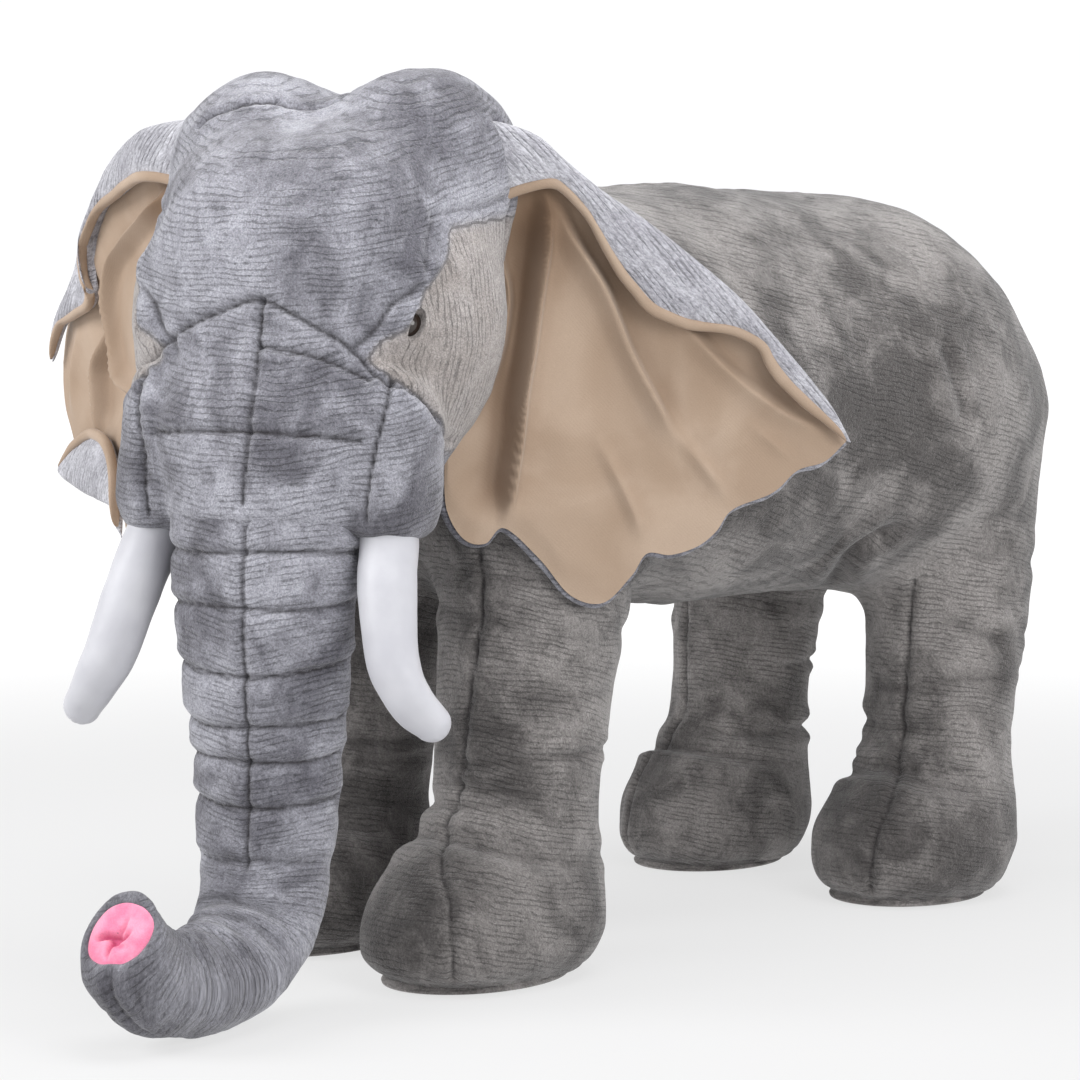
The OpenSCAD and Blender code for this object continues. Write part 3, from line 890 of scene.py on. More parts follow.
def shape_legs(body, random):
    """Tucks round each leg, the bend over its foot and its two seams."""
    for name, (x, y, _) in LEGS.items():
        for height in np.linspace(0.105, 0.335, 12):
            start = random.uniform(0, 2 * math.pi)
            sweep = random.uniform(1.4, 3.4)
            line = around_leg(x, y, height + random.normal(0, 0.006), start, sweep,
                              random.uniform(-0.010, 0.010))
            depth = random.uniform(0.0010, 0.0034) * (1.2 if height < 0.2 else 0.7)
            body.crease(line, random.uniform(0.004, 0.008), depth, 0.35, depth * 0.6)
        instep = around_leg(x, y + 0.004, 0.104, math.pi * 0.95, math.pi * 1.1, 0.0)
        body.crease(instep, 0.008, 0.004, 0.5, 0.002)
        front_seam = REAR_LEG_SEAM if name.startswith("rear") else FRONT_LEG_SEAM
        body.seam(mirrored(front_seam, 1 if x > 0 else -1), 0.0030, 0.0034)
        back_seam = [(x, y + 0.12, 0.36), (x, y + 0.08, 0.24), (x, y + 0.07, 0.14),
                     (x, y + 0.06, 0.02)]
        body.seam(back_seam, 0.0028, 0.0026, 0.8)


SPINE_SEAM = [(0, -0.18, 0.62), (0, -0.05, 0.655), (0, 0.12, 0.66), (0, 0.28, 0.645),
              (0, 0.40, 0.56), (0, 0.44, 0.46), (0, 0.41, 0.36)]
BELLY_SEAM = [(0, -0.17, 0.31), (0, 0, 0.285), (0, 0.15, 0.285), (0, 0.30, 0.29)]
FLANK_CREASE = [(0.215, 0.197, 0.530), (0.221, 0.212, 0.479), (0.222, 0.226, 0.440)]
THIGH_FOLD = [(0.079, 0.209, 0.286), (0.120, 0.175, 0.305), (0.150, 0.160, 0.325),
              (0.166, 0.173, 0.345), (0.184, 0.200, 0.362)]
ELBOW_FOLD = [(0.060, -0.150, 0.300), (0.120, -0.120, 0.310), (0.170, -0.130, 0.350)]
KNEE_DIMPLE = [(0.176, 0.270, 0.262), (0.181, 0.296, 0.248), (0.176, 0.320, 0.240)]


def shape_torso(body):
    for seam in (SPINE_SEAM, BELLY_SEAM):
        body.seam(seam, 0.0030, 0.0026, 0.7)
    for side in (1, -1):
        body.crease(mirrored(FLANK_CREASE, side), 0.007, 0.0030, 0.4)
        body.crease(mirrored(THIGH_FOLD, side), 0.010, 0.008, 0.5, 0.004)
        body.crease(mirrored(ELBOW_FOLD, side), 0.010, 0.006, 0.4, 0.003)
        body.crease(mirrored(KNEE_DIMPLE, side), 0.010, 0.0035, 0.3)


def make_body():
    body = Skin(body_field, (-0.25, -0.40, -0.01), (0.25, 0.47, 0.68), BODY_VOXEL)
    random = np.random.default_rng(5)
    p = body.points
    body.lift += 0.0034 * fbm(p, 0.16, 3, 1) + 0.0010 * fbm(p, 0.030, 2, 2)
    # Keeps the flat undersides of the feet flat
    body.lift *= ramp(p[:, 2], 0.004, 0.030)
    shape_legs(body, random)
    shape_torso(body)
    # The seam round each sole
    edge = bump_at(p[:, 2], 0.0095, 0.0022)
    body.lift -= 0.0012 * edge
    body.darken(0.30 * edge)
    # Painted shade: the feet grow darker towards the floor
    body.darken(0.24 * ramp(0.15 - p[:, 2], 0, 0.07))
    body.flow[:, 2] = p[:, 2] + 0.22 * p[:, 1] + 0.004 * noise(p, 0.08, 9)
    body.settle()
    body.points[:, 2] = np.maximum(body.points[:, 2], SOLE_TOP)
    # Each face belongs to the torso (-1) or to the leg whose own field is nearer
    middles = body.rest[body.quads].mean(1)
    owner = np.full(len(middles), -1)
    distance = field_at(torso_field, middles)
    for k, (x, y, toe) in enumerate(LEGS.values()):
        leg = field_at(lambda q, leg=(x, y, toe): leg_field(q, *leg), middles)
        near = (np.abs(middles[:, 0] - x) < 0.12) & (leg < distance) & (middles[:, 2] < 0.40)
        owner[near & (np.abs(middles[:, 1] - y) < 0.25)] = k
    torso = body.piece("torso_plush", from_body, BODY_PLUSH, owner == -1)
    finish_piece(torso, "torso", "body_plush", "torso_skin", "torso_filling", fill=0.85)
    for k, name in enumerate(LEGS):
        leg = body.piece(name + "_leg_plush", from_body, BODY_PLUSH, owner == k)
        finish_piece(leg, "torso", "body_plush", name + "_leg_skin", name + "_leg_filling", fill=0.85)


def make_sole(name):
    """A flat plush disc with a rolled edge and a ring of stitches' dimples."""
    low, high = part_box(name + "_sole")
    middle = (low + high) / 2
    # A little inside the CAD disc, so that the rolled edge stays within it
    half = (high - low) * 0.5 * 0.975
    sides = 96
    turns = once_round(sides)
    rows = []

    def add_row(share, height):
        rows.append(np.stack([middle.x + half.x * share * np.cos(turns),
                              middle.y + half.y * share * np.sin(turns),
                              height + 0 * turns], 1))

    for share in np.linspace(0.02, 1, 26):
        dimples = 0.0007 * bump_at(share, 0.86, 0.03) * (0.6 + 0.4 * np.cos(turns * 24))
        add_row(share, low.z + 0.0016 * share**14 - dimples)
    for lift in np.linspace(0.3, 1, 4):
        out = 1 + 0.010 * math.sin(lift * math.pi) - 0.06 * (lift - 0.3)
        add_row(out, low.z + 0.0016 + lift * 0.006)
    points = np.concatenate(rows)
    sole = mesh_piece(name + "_sole_plush", points, grid_faces(len(rows), sides, True), BODY_PLUSH,
                      unshaded(points))
    finish_piece(sole, "torso", "body_plush", name + "_sole")


# ---- Head ----

# Seams and creases of the head, each point as (left, forward, up). Those used with both() are the
# left ones of a pair.
CROWN = [(-0.100, 0.100, 0.700), (-0.088, 0.096, 0.706), (-0.065, 0.094, 0.713),
         (-0.036, 0.088, 0.719), (-0.008, 0.084, 0.723), (0.012, 0.050, 0.728), (0.010, 0.010, 0.722)]
BACK_SEAM = [(0, -0.010, 0.718), (0, -0.045, 0.690), (0, -0.055, 0.640), (0, -0.050, 0.590)]
BROW = [(-0.120, 0.150, 0.500), (-0.099, 0.176, 0.512), (-0.070, 0.181, 0.533),
        (-0.037, 0.189, 0.547), (0, 0.192, 0.559), (0.029, 0.189, 0.546), (0.061, 0.185, 0.527),
        (0.075, 0.187, 0.517), (0.099, 0.187, 0.495), (0.116, 0.160, 0.470)]
LID_CREASE = [(0.058, 0.188, 0.506), (0.071, 0.185, 0.522), (0.083, 0.178, 0.534),
              (0.100, 0.170, 0.556), (0.114, 0.158, 0.571), (0.120, 0.150, 0.580)]
CENTRE = [(0.003, 0.192, 0.559), (0.004, 0.206, 0.526), (0.005, 0.220, 0.502), (0.005, 0.231, 0.471),
          (0.005, 0.234, 0.440), (0.004, 0.241, 0.405)]
SHORT_SEAM = [(0.004, 0.207, 0.524), (0.035, 0.202, 0.518), (0.060, 0.198, 0.511),
              (0.088, 0.190, 0.497)]
FACE_SEAM = [(-0.082, 0.196, 0.455), (-0.045, 0.222, 0.458), (0.004, 0.232, 0.460),
             (0.045, 0.222, 0.457), (0.078, 0.198, 0.452)]
PAD_SEAM = [(0.104, 0.186, 0.500), (0.104, 0.198, 0.475), (0.098, 0.206, 0.444), (0.095, 0.211, 0.421),
            (0.092, 0.210, 0.392)]
CHEEK_UPPER = [(0.108, 0.125, 0.622), (0.114, 0.144, 0.597), (0.119, 0.152, 0.583)]
CHEEK_LOWER = [(0.101, 0.184, 0.496), (0.112, 0.168, 0.480), (0.128, 0.145, 0.456),
               (0.140, 0.105, 0.441)]
CHEEK_TOP = [(0.108, 0.125, 0.622), (0.124, 0.112, 0.628), (0.136, 0.085, 0.632),
             (0.142, 0.050, 0.640)]
EAR_SEAM = [(0.139, 0.045, 0.702), (0.146, 0.040, 0.660), (0.150, 0.036, 0.600),
            (0.152, 0.034, 0.540), (0.150, 0.034, 0.480)]
# How far forward the beige cheek reaches: (height, reach)
CHEEK_EDGE = np.array([(0.440, 0.120), (0.470, 0.158), (0.495, 0.186), (0.515, 0.192),
                       (0.530, 0.184), (0.545, 0.176), (0.560, 0.166), (0.575, 0.156),
                       (0.592, 0.140), (0.622, 0.122)])


def cheek_patch(p):
    """1 on the beige cheeks, 0 elsewhere."""
    reach = np.interp(p[:, 2], CHEEK_EDGE[:, 0], CHEEK_EDGE[:, 1])
    top = 0.624 + 0.10 * np.clip(0.12 + p[:, 1], 0, 0.1)
    inside = ramp(reach + p[:, 1], 0, 0.006) * ramp(np.abs(p[:, 0]), 0.066, 0.076)
    return inside * ramp(top - p[:, 2], 0, 0.014) * ramp(p[:, 2], 0.436, 0.446)


def shape_head(head):
    p = head.points
    head.lift += 0.0028 * fbm(p, 0.11, 3, 3) + 0.0010 * fbm(p, 0.026, 2, 4)
    head.seam(forward(CROWN), 0.0030, 0.0036)
    head.seam(forward(BROW), 0.0030, 0.0036)
    head.seam(forward(CENTRE), 0.0028, 0.0036)
    head.seam(forward(SHORT_SEAM), 0.0026, 0.0030)
    head.seam(forward(FACE_SEAM), 0.0030, 0.0034)
    head.seam(forward(BACK_SEAM), 0.0030, 0.0026, 0.7)
    for line in both(PAD_SEAM):
        head.seam(forward(line), 0.0030, 0.0038)
    for line in both(CHEEK_UPPER) + both(CHEEK_LOWER) + both(CHEEK_TOP):
        head.seam(forward(line), 0.0026, 0.0020, 0.45)
    for line in both(EAR_SEAM):
        head.seam(forward(line), 0.0036, 0.0040)
    for line in both(LID_CREASE):
        head.crease(forward(line), 0.0040, 0.0036, 0.9, 0.0008)
    # The temples sink in a little
    hollow = ellipsoid([np.abs(p[:, 0]), p[:, 1], p[:, 2]], (0.118, -0.135, 0.620), (0.03, 0.03, 0.026))
    head.lift -= 0.006 * ramp(-hollow, -0.02, 0.02)
    # The jaw pads are darker, most towards their lower ends
    jaw = ramp(-field_at(pad_field, head.rest), -0.012, 0.012) * ramp(0.50 - p[:, 2], 0, 0.07)
    head.darken(0.34 * jaw)
    head.patch = cheek_patch(p)
    # The crinkle lines stand upright on the cheeks and lie level on the rest
    upright = np.stack([p[:, 2], p[:, 0], p[:, 1] + 0.003 * noise(p, 0.05, 8)], 1)
    level = np.stack([p[:, 0], p[:, 1], p[:, 2] - 0.30 * p[:, 1] + 0.004 * noise(p, 0.07, 9)], 1)
    head.flow = np.where((head.patch > 0.5)[:, None], upright, level)
    head.settle()


def make_head():
    head = Skin(head_field, (-0.175, -0.265, 0.325), (0.175, 0.075, 0.765), HEAD_VOXEL)
    shape_head(head)
    middles = head.rest[head.quads].mean(1)
    skull = field_at(skull_field, middles)
    face = field_at(lambda q: tube(q, FACE), middles)
    pad = field_at(pad_field, middles)
    brow = field_at(brow_field, middles)
    lip = field_at(lambda q: ellipsoid(q, *LIP), middles)
    # Each face belongs to the skull and face (0), a jaw pad (1), an eyelid (2) or the lip (3)
    owner = np.zeros(len(middles), int)
    owner[(pad < np.minimum(skull, face)) & (middles[:, 2] > 0.37)] = 1
    owner[(brow < skull - 0.001) & (middles[:, 2] > 0.52)] = 2
    owner[(lip < np.minimum(skull, face)) & (middles[:, 2] < 0.40)] = 3
    left = middles[:, 0] > 0
    main = head.piece("head_plush", from_head, HEAD_PLUSH, owner == 0)
    finish_piece(main, "head", "head_plush", "head_skin", "head_filling", fill=0.85)
    for name, where in (("left", left), ("right", ~left)):
        jaw_pad = head.piece(name + "_jaw_pad_plush", from_head, HEAD_PLUSH, (owner == 1) & where)
        finish_piece(jaw_pad, "head", "head_plush", name + "_jaw_pad", fill=0.8)
        lid = head.piece(name + "_eyelid_plush", from_head, HEAD_PLUSH, (owner == 2) & where)
        finish_piece(lid, "head", "head_plush", name + "_eyelid", fill=0.7)
    lower = head.piece("lower_lip_plush", from_head, HEAD_PLUSH, owner == 3)
    finish_piece(lower, "head", "head_plush", "lower_lip", fill=0.7)


# ---- Trunk ----

# The middle line of the trunk below the eyes, with its half widths and half depths
TRUNK_LINE = smooth_line(TRUNK[2:], 24)
TRUNK_RUN = run_along(TRUNK_LINE[:, :3])
# Points of each line that goes round the trunk
ROUND = 25
# Creases in the hollow of the bend: (share of the trunk's length, first angle, last angle)
BEND_CREASES = [(0.655, -70, 75), (0.700, -60, 85), (0.735, -80, 60), (0.775, -55, 70),
                (0.815, -75, 50), (0.86, -40, 70)]


def around_trunk(share, start, end):
    """Points round the trunk at a share of its length. Angle 0 is the hollow side of the curl."""

    def trunk_at(run):
        return np.array([np.interp(run, TRUNK_RUN, TRUNK_LINE[:, k]) for k in range(5)])

    run = share * TRUNK_RUN[-1]
    at = trunk_at(run)
    along = (trunk_at(run + 0.004) - trunk_at(run - 0.004))[:3]
    along /= np.linalg.norm(along)
    inner = np.array([0, along[2], -along[1]])
    inner /= np.linalg.norm(inner)
    turns = np.radians(np.linspace(start, end, ROUND))
    return at[:3] + ring(turns, inner * at[4], np.array([at[3], 0, 0]))


def trunk_shares(heights):
    """Shares of the trunk's length at which its middle line has these heights, on the hanging part."""
    run = TRUNK_RUN / TRUNK_RUN[-1]
    hanging = run < 0.72
    return [float(np.interp(-z, -TRUNK_LINE[hanging, 2], run[hanging])) for z in heights]


def shape_trunk(trunk):
    """Shapes the trunk, and says how far along it each point and each seam across it is."""
    p = trunk.points
    middle = smooth_line(TRUNK[2:], 12)[:, :3]
    _, run = distance_to(p, middle, reach=1.0)
    total = run_along(middle)[-1]
    shares = trunk_shares(CROSS_SEAMS)
    near = np.min([np.abs(run - share * total) for share in shares], axis=0)
    trunk.lift += 0.0022 * (ramp(near, 0, 0.015) - 0.5) * ramp(total * 0.74 - run, 0, 0.03)
    trunk.lift += 0.0020 * fbm(p, 0.075, 3, 6) + 0.0008 * fbm(p, 0.022, 2, 7)
    for k, share in enumerate(shares):
        # The last one, at the bend, is shorter and weaker
        weak = k == len(shares) - 1
        reach = 70 if weak else 104
        depth, shade = (0.0024, 0.5) if weak else (0.0030, 1.0)
        line = around_trunk(share, -reach, reach)
        line[:, 2] += 0.005 * (1 - np.cos(np.radians(np.linspace(-reach, reach, ROUND))))
        line[:, 2] += 0.0015 * np.sin(np.linspace(0, 9, ROUND) + 2.1 * k)
        trunk.seam(onto(trunk_field, line), 0.0026, depth, shade, 0.0010, raw=True)
    centre = [around_trunk(share, 4, 5)[0] for share in np.linspace(0.02, shares[-1] + 0.01, 14)]
    trunk.seam(centre, 0.0028, 0.0034)
    for share, start, end in BEND_CREASES:
        trunk.crease(around_trunk(share, start, end), 0.0055, 0.0040, 0.45, 0.0026)
    under = [around_trunk(share, 178, 180)[0] for share in np.linspace(0.10, 0.96, 12)]
    trunk.seam(under, 0.0028, 0.0026, 0.8)
    trunk.darken(0.34 * ramp(run / total, 0.70, 0.86))
    level = run + 0.20 * np.abs(p[:, 0]) + 0.003 * noise(p, 0.06, 9)
    trunk.flow = np.stack([p[:, 0], p[:, 1] * 0.5, level], 1)
    trunk.settle()
    return run / total, shares


def make_trunk():
    trunk = Skin(trunk_field, (-0.12, -0.43, -0.01), (0.11, -0.10, 0.47), TRUNK_VOXEL)
    share, shares = shape_trunk(trunk)
    lower = share[trunk.quads].mean(1) > shares[-2]
    upper = trunk.piece("trunk_plush", from_head, HEAD_PLUSH, ~lower)
    start, end = SWING + (0, 0, 0.035), SWING - (0, 0, 0.065)
    bend_piece(upper, "head", "trunk", start, end, "head_plush", "trunk_skin", "trunk_filling",
               fill=0.85)
    tip = trunk.piece("trunk_tip_plush", from_head, HEAD_PLUSH, lower)
    start, end = CURL + (0, 0, 0.012), CURL - (0, 0, 0.045)
    bend_piece(tip, "trunk", "trunk_tip", start, end, "head_plush", "trunk_tip_skin",
               "trunk_tip_filling", fill=0.85)


# Where the nostril pad is drawn in, and the folds that run out from there with their depths
GATHER = (-0.05, -0.16)
FOLDS = [(-0.85, 0.10, 0.95), (0.62, 0.22, 0.9), (0.42, 0.62, 0.5), (-0.12, -0.62, 0.75),
         (0.60, -0.30, 0.35)]
# Half sizes of the pad, and how far its folds sink in
PAD_WIDE = 0.0286
PAD_TALL = 0.0345
PAD_SINK = 0.0068


def make_nostril():
    """The pink pad that closes the trunk, drawn in to one point by the folds that meet there."""
    rings, sides = 44, 96
    turns = once_round(sides)
    side = np.array([1.0, 0, 0]) - TRUNK_END_OUT * TRUNK_END_OUT[0]
    side /= np.linalg.norm(side)
    up = np.cross(TRUNK_END_OUT, side)
    shares = np.linspace(0.01, 1, rings)[:, None]
    a = shares * np.cos(turns)
    b = shares * np.sin(turns)
    dome = 0.0060 * (1 - shares**4) + 0 * a
    dent = 0.8 * np.exp(-(((a - GATHER[0]) ** 2 + (b - GATHER[1]) ** 2) / 0.12 ** 2))
    for x, y, depth in FOLDS:
        reach = math.hypot(x, y)
        along = ((a - GATHER[0]) * x + (b - GATHER[1]) * y) / reach
        aside = ((b - GATHER[1]) * x - (a - GATHER[0]) * y) / reach + 0.05 * np.sin(7 * along)
        fade = ramp(along, -0.06, 0.06) * ramp(reach - along, 0, 0.45)
        dent += depth * fade * np.exp(-((aside / 0.075) ** 2))
    out = dome - PAD_SINK * np.clip(dent, 0, 1.1) - 0.0052
    points = (TRUNK_END + (a * PAD_WIDE)[..., None] * side + (b * PAD_TALL)[..., None] * up
              + out[..., None] * TRUNK_END_OUT).reshape(-1, 3)
    # Painted shade in the folds and where the pad is drawn in
    extra = {"flow": points, "shade": np.clip(dent.ravel() ** 2, 0, 0.8)}
    pad = mesh_piece("nostril_pad_plush", from_head(points), grid_faces(rings, sides, True),
                     NOSTRIL_PINK, extra)
    finish_piece(pad, "trunk_tip", "nostril_plush", "nostril_pad", fill=0.5)


# ---- Tusks ----

# The left tusk's middle line with its radius, and how far its round end reaches
TUSK = [(0.094, -0.165, 0.412, 0.0225), (0.101, -0.184, 0.371, 0.0230),
        (0.108, -0.205, 0.335, 0.0225), (0.119, -0.221, 0.288, 0.0208),
        (0.134, -0.223, 0.258, 0.0180), (0.149, -0.215, 0.239, 0.0150)]
TUSK_CAP = 0.014
# The angle of its seam, and the number of puckers that its end is drawn in with
TUSK_SEAM = 2.2
PUCKERS = 5


def make_tusk(name, side):
    line = smooth_line(TUSK, 16)
    end = line[-1]
    out = (line[-1] - line[-2])[:3]
    out /= np.linalg.norm(out)
    cap = []
    for turn in np.radians(np.linspace(12, 88, 10)):
        cap.append([*(end[:3] + out * TUSK_CAP * math.sin(turn)), end[3] * math.cos(turn)])
    line = np.vstack([line, cap])
    line[:, 0] *= side
    _, across, up = frames_along(line[:, :3])
    sides = 72
    turns = once_round(sides)
    from_seam = np.angle(np.exp(1j * (turns - TUSK_SEAM)))
    seam = np.exp(-((from_seam / 0.06) ** 2))
    pucker = np.cos(turns * PUCKERS + 0.7)
    rows, shade = [], []
    for i, at in enumerate(line):
        pinch = ramp(i / (len(line) - 1), 0.90, 1.0)
        wide = at[3] - 0.0010 * pinch * pucker**4 - 0.0007 * seam
        rows.append(at[:3] + ring(turns, across[i], up[i]) * wide[:, None])
        # A darker seam line, and painted shade in the puckers where the end is drawn in
        shade.append(0.5 * seam + 0.6 * pinch * pucker**8)
    points = np.concatenate(rows)
    normal = np.concatenate([row - at[:3] for row, at in zip(rows, line)])
    normal /= np.linalg.norm(normal, axis=1, keepdims=True) + 1e-9
    points += normal * (0.0009 * fbm(points, 0.035, 2, 12))[:, None]
    faces = grid_faces(len(rows), sides, True)[:, ::-1]
    extra = {"flow": points, "shade": np.concatenate(shade)}
    tusk = mesh_piece(name + "_tusk_satin", from_head(points), faces, TUSK_SATIN, extra)
    finish_piece(tusk, "head", "tusk_satin", name + "_tusk_skin", name + "_tusk_filling", fill=0.9)


# ---- Ears ----

# Each ear in its own plane (reach, height): the top edge from the seam to the tip, the hem from the
# tip to the inner lobe, the bound edge of the rim that folds over the front, and the folds of the
# lining. A fold is its crest, how far it stands out, its width, and how far the cloth sinks on its
# side towards the head and on its side towards the tip.
INNER_HEM = [(0.104, 0.352), (0.090, 0.334), (0.066, 0.313), (0.038, 0.320), (0.012, 0.350),
             (-0.018, 0.376), (-0.034, 0.364), (-0.052, 0.368), (-0.066, 0.392), (-0.066, 0.430)]
EARS = {
    "left": {
        "top": [(-0.034, 0.702), (-0.015, 0.700), (0.010, 0.690), (0.030, 0.672), (0.061, 0.648),
                (0.099, 0.624), (0.140, 0.594), (0.180, 0.562), (0.212, 0.529), (0.240, 0.499),
                (0.264, 0.470), (0.281, 0.440)],
        "hem": [(0.281, 0.440), (0.262, 0.424), (0.238, 0.417), (0.216, 0.399), (0.181, 0.386),
                (0.166, 0.368), (0.149, 0.356), (0.126, 0.350)] + INNER_HEM,
        "binding": [(-0.034, 0.632), (-0.018, 0.641), (0.000, 0.648), (0.019, 0.652),
                    (0.030, 0.647), (0.048, 0.629), (0.059, 0.611), (0.073, 0.588), (0.087, 0.570),
                    (0.103, 0.553), (0.125, 0.542), (0.145, 0.537), (0.167, 0.535), (0.186, 0.530),
                    (0.201, 0.521), (0.208, 0.507), (0.221, 0.490), (0.243, 0.471), (0.266, 0.452),
                    (0.276, 0.442)],
        "folds": [
            ([(-0.008, 0.640), (-0.014, 0.596), (-0.008, 0.560), (-0.021, 0.509), (-0.048, 0.455)],
             0.008, 0.006, 0.004, 0.006),
            ([(0.018, 0.650), (0.020, 0.606), (0.012, 0.550), (0.000, 0.486), (-0.008, 0.434),
              (-0.019, 0.375)], 0.013, 0.0055, 0.020, 0.006),
            ([(0.024, 0.640), (0.042, 0.603), (0.066, 0.564), (0.089, 0.513), (0.109, 0.477),
              (0.130, 0.440)], 0.011, 0.008, 0.003, 0.012),
            ([(0.120, 0.556), (0.148, 0.524), (0.177, 0.496), (0.217, 0.468), (0.264, 0.446)],
             0.007, 0.008, 0.002, 0.008),
            ([(0.060, 0.450), (0.085, 0.400), (0.103, 0.354)], 0.004, 0.006, 0.003, 0.003),
            ([(0.128, 0.452), (0.160, 0.415), (0.180, 0.388)], 0.005, 0.006, 0.003, 0.004),
            ([(0.190, 0.460), (0.220, 0.436), (0.238, 0.418)], 0.004, 0.006, 0.002, 0.003),
        ],
    },
    "right": {
        "top": [(-0.085, 0.700), (-0.025, 0.706), (0.036, 0.699), (0.080, 0.688), (0.110, 0.676),
                (0.145, 0.652), (0.186, 0.617), (0.208, 0.590), (0.236, 0.566), (0.262, 0.548),
                (0.281, 0.526), (0.292, 0.497)],
        "hem": [(0.292, 0.497), (0.290, 0.475), (0.280, 0.452), (0.262, 0.432), (0.244, 0.412),
                (0.215, 0.396), (0.180, 0.386), (0.140, 0.376)] + INNER_HEM,
        "binding": [(-0.085, 0.640), (-0.020, 0.655), (0.020, 0.660), (0.050, 0.658),
                    (0.080, 0.652), (0.104, 0.645), (0.140, 0.636), (0.167, 0.622), (0.192, 0.600),
                    (0.190, 0.576), (0.174, 0.560), (0.182, 0.549), (0.210, 0.543), (0.236, 0.537),
                    (0.260, 0.531), (0.276, 0.518), (0.287, 0.500)],
        "folds": [
            ([(0.005, 0.648), (0.050, 0.626), (0.085, 0.611), (0.140, 0.584), (0.152, 0.538),
              (0.129, 0.493), (0.076, 0.473)], 0.010, 0.0065, 0.006, 0.012),
            ([(0.160, 0.550), (0.176, 0.515), (0.189, 0.491), (0.184, 0.460), (0.177, 0.425)],
             0.009, 0.006, 0.010, 0.004),
            ([(0.230, 0.530), (0.250, 0.500), (0.262, 0.450)], 0.005, 0.008, 0.002, 0.004),
        ],
    },
}
# Where the rings of an ear's mesh start, beside the head
EAR_HEART = np.array([-0.026, 0.655])
# The right ear's lower corner, turned up to the front: its lower and its upper edge
CORNER_LOW = [(0.258, 0.398), (0.240, 0.390), (0.204, 0.384), (0.165, 0.380), (0.120, 0.374),
              (0.086, 0.352)]
CORNER_HIGH = [(0.250, 0.406), (0.228, 0.420), (0.204, 0.430), (0.165, 0.438), (0.125, 0.424),
               (0.092, 0.362)]
# How far the middle of a folded rim stands out of the ear's plane
RIM_DEPTH = 0.012
# Points round a rim and round its binding
RIM_SIDES = 36
BINDING_SIDES = 20


def ear_depth(flat, folds):
    """How far the lining stands out of the ear's plane at points (reach, height), and the painted shade
    in the hollows beside its folds.
    """
    points = np.column_stack([flat, np.zeros(len(flat))])
    depth = 0.0035 * noise(points, 0.09, 21) + 0.0010 * noise(points, 0.03, 22)
    shade = np.zeros(len(flat))
    for knots, rise, width, inside, outside in folds:
        line = smooth_line(knots, 10)
        d, along = signed_distance(flat, line)
        total = run_along(line)[-1]
        fade = ramp(along, -0.01, 0.05) * ramp(total - along, -0.004, 0.04)
        depth += fade * rise * np.exp(-np.abs(d / width) ** 1.3)
        depth -= fade * outside * ramp(d, 0, 1.8 * width) * np.exp(-((d / (5 * width)) ** 2))
        depth -= fade * inside * ramp(-d, 0, 1.8 * width) * np.exp(-((d / (7 * width)) ** 2))
        # Painted shade in the hollows on both sides of the crest
        deep = outside * bump_at(d, 1.6 * width, 1.3 * width)
        deep += inside * bump_at(d, -2.2 * width, 2 * width)
        shade = np.maximum(shade, np.clip(fade * deep / 0.018, 0, 1))
    return depth, shade


def signed_distance(points, line):
    """Distance in the plane from a line, positive to the left of it as it runs, and the place
    along it, which goes on beyond both its ends."""
    best = np.full(len(points), 9.0)
    signed = np.full(len(points), 9.0)
    along = np.zeros(len(points))
    run = 0.0
    for a, b in zip(line[:-1], line[1:]):
        step = b - a
        length = np.linalg.norm(step) + 1e-9
        t = (points - a) @ step / length**2
        held = np.clip(t, 0, 1)
        offset = points - a - held[:, None] * step
        d = np.linalg.norm(offset, axis=1)
        turn = step[1] * offset[:, 0] - step[0] * offset[:, 1]
        nearer = d < best
        best = np.where(nearer, d, best)
        signed = np.where(nearer, d * np.where(turn < 0, 1, -1), signed)
        along = np.where(nearer, run + t * length, along)
        run += length
    return signed, along


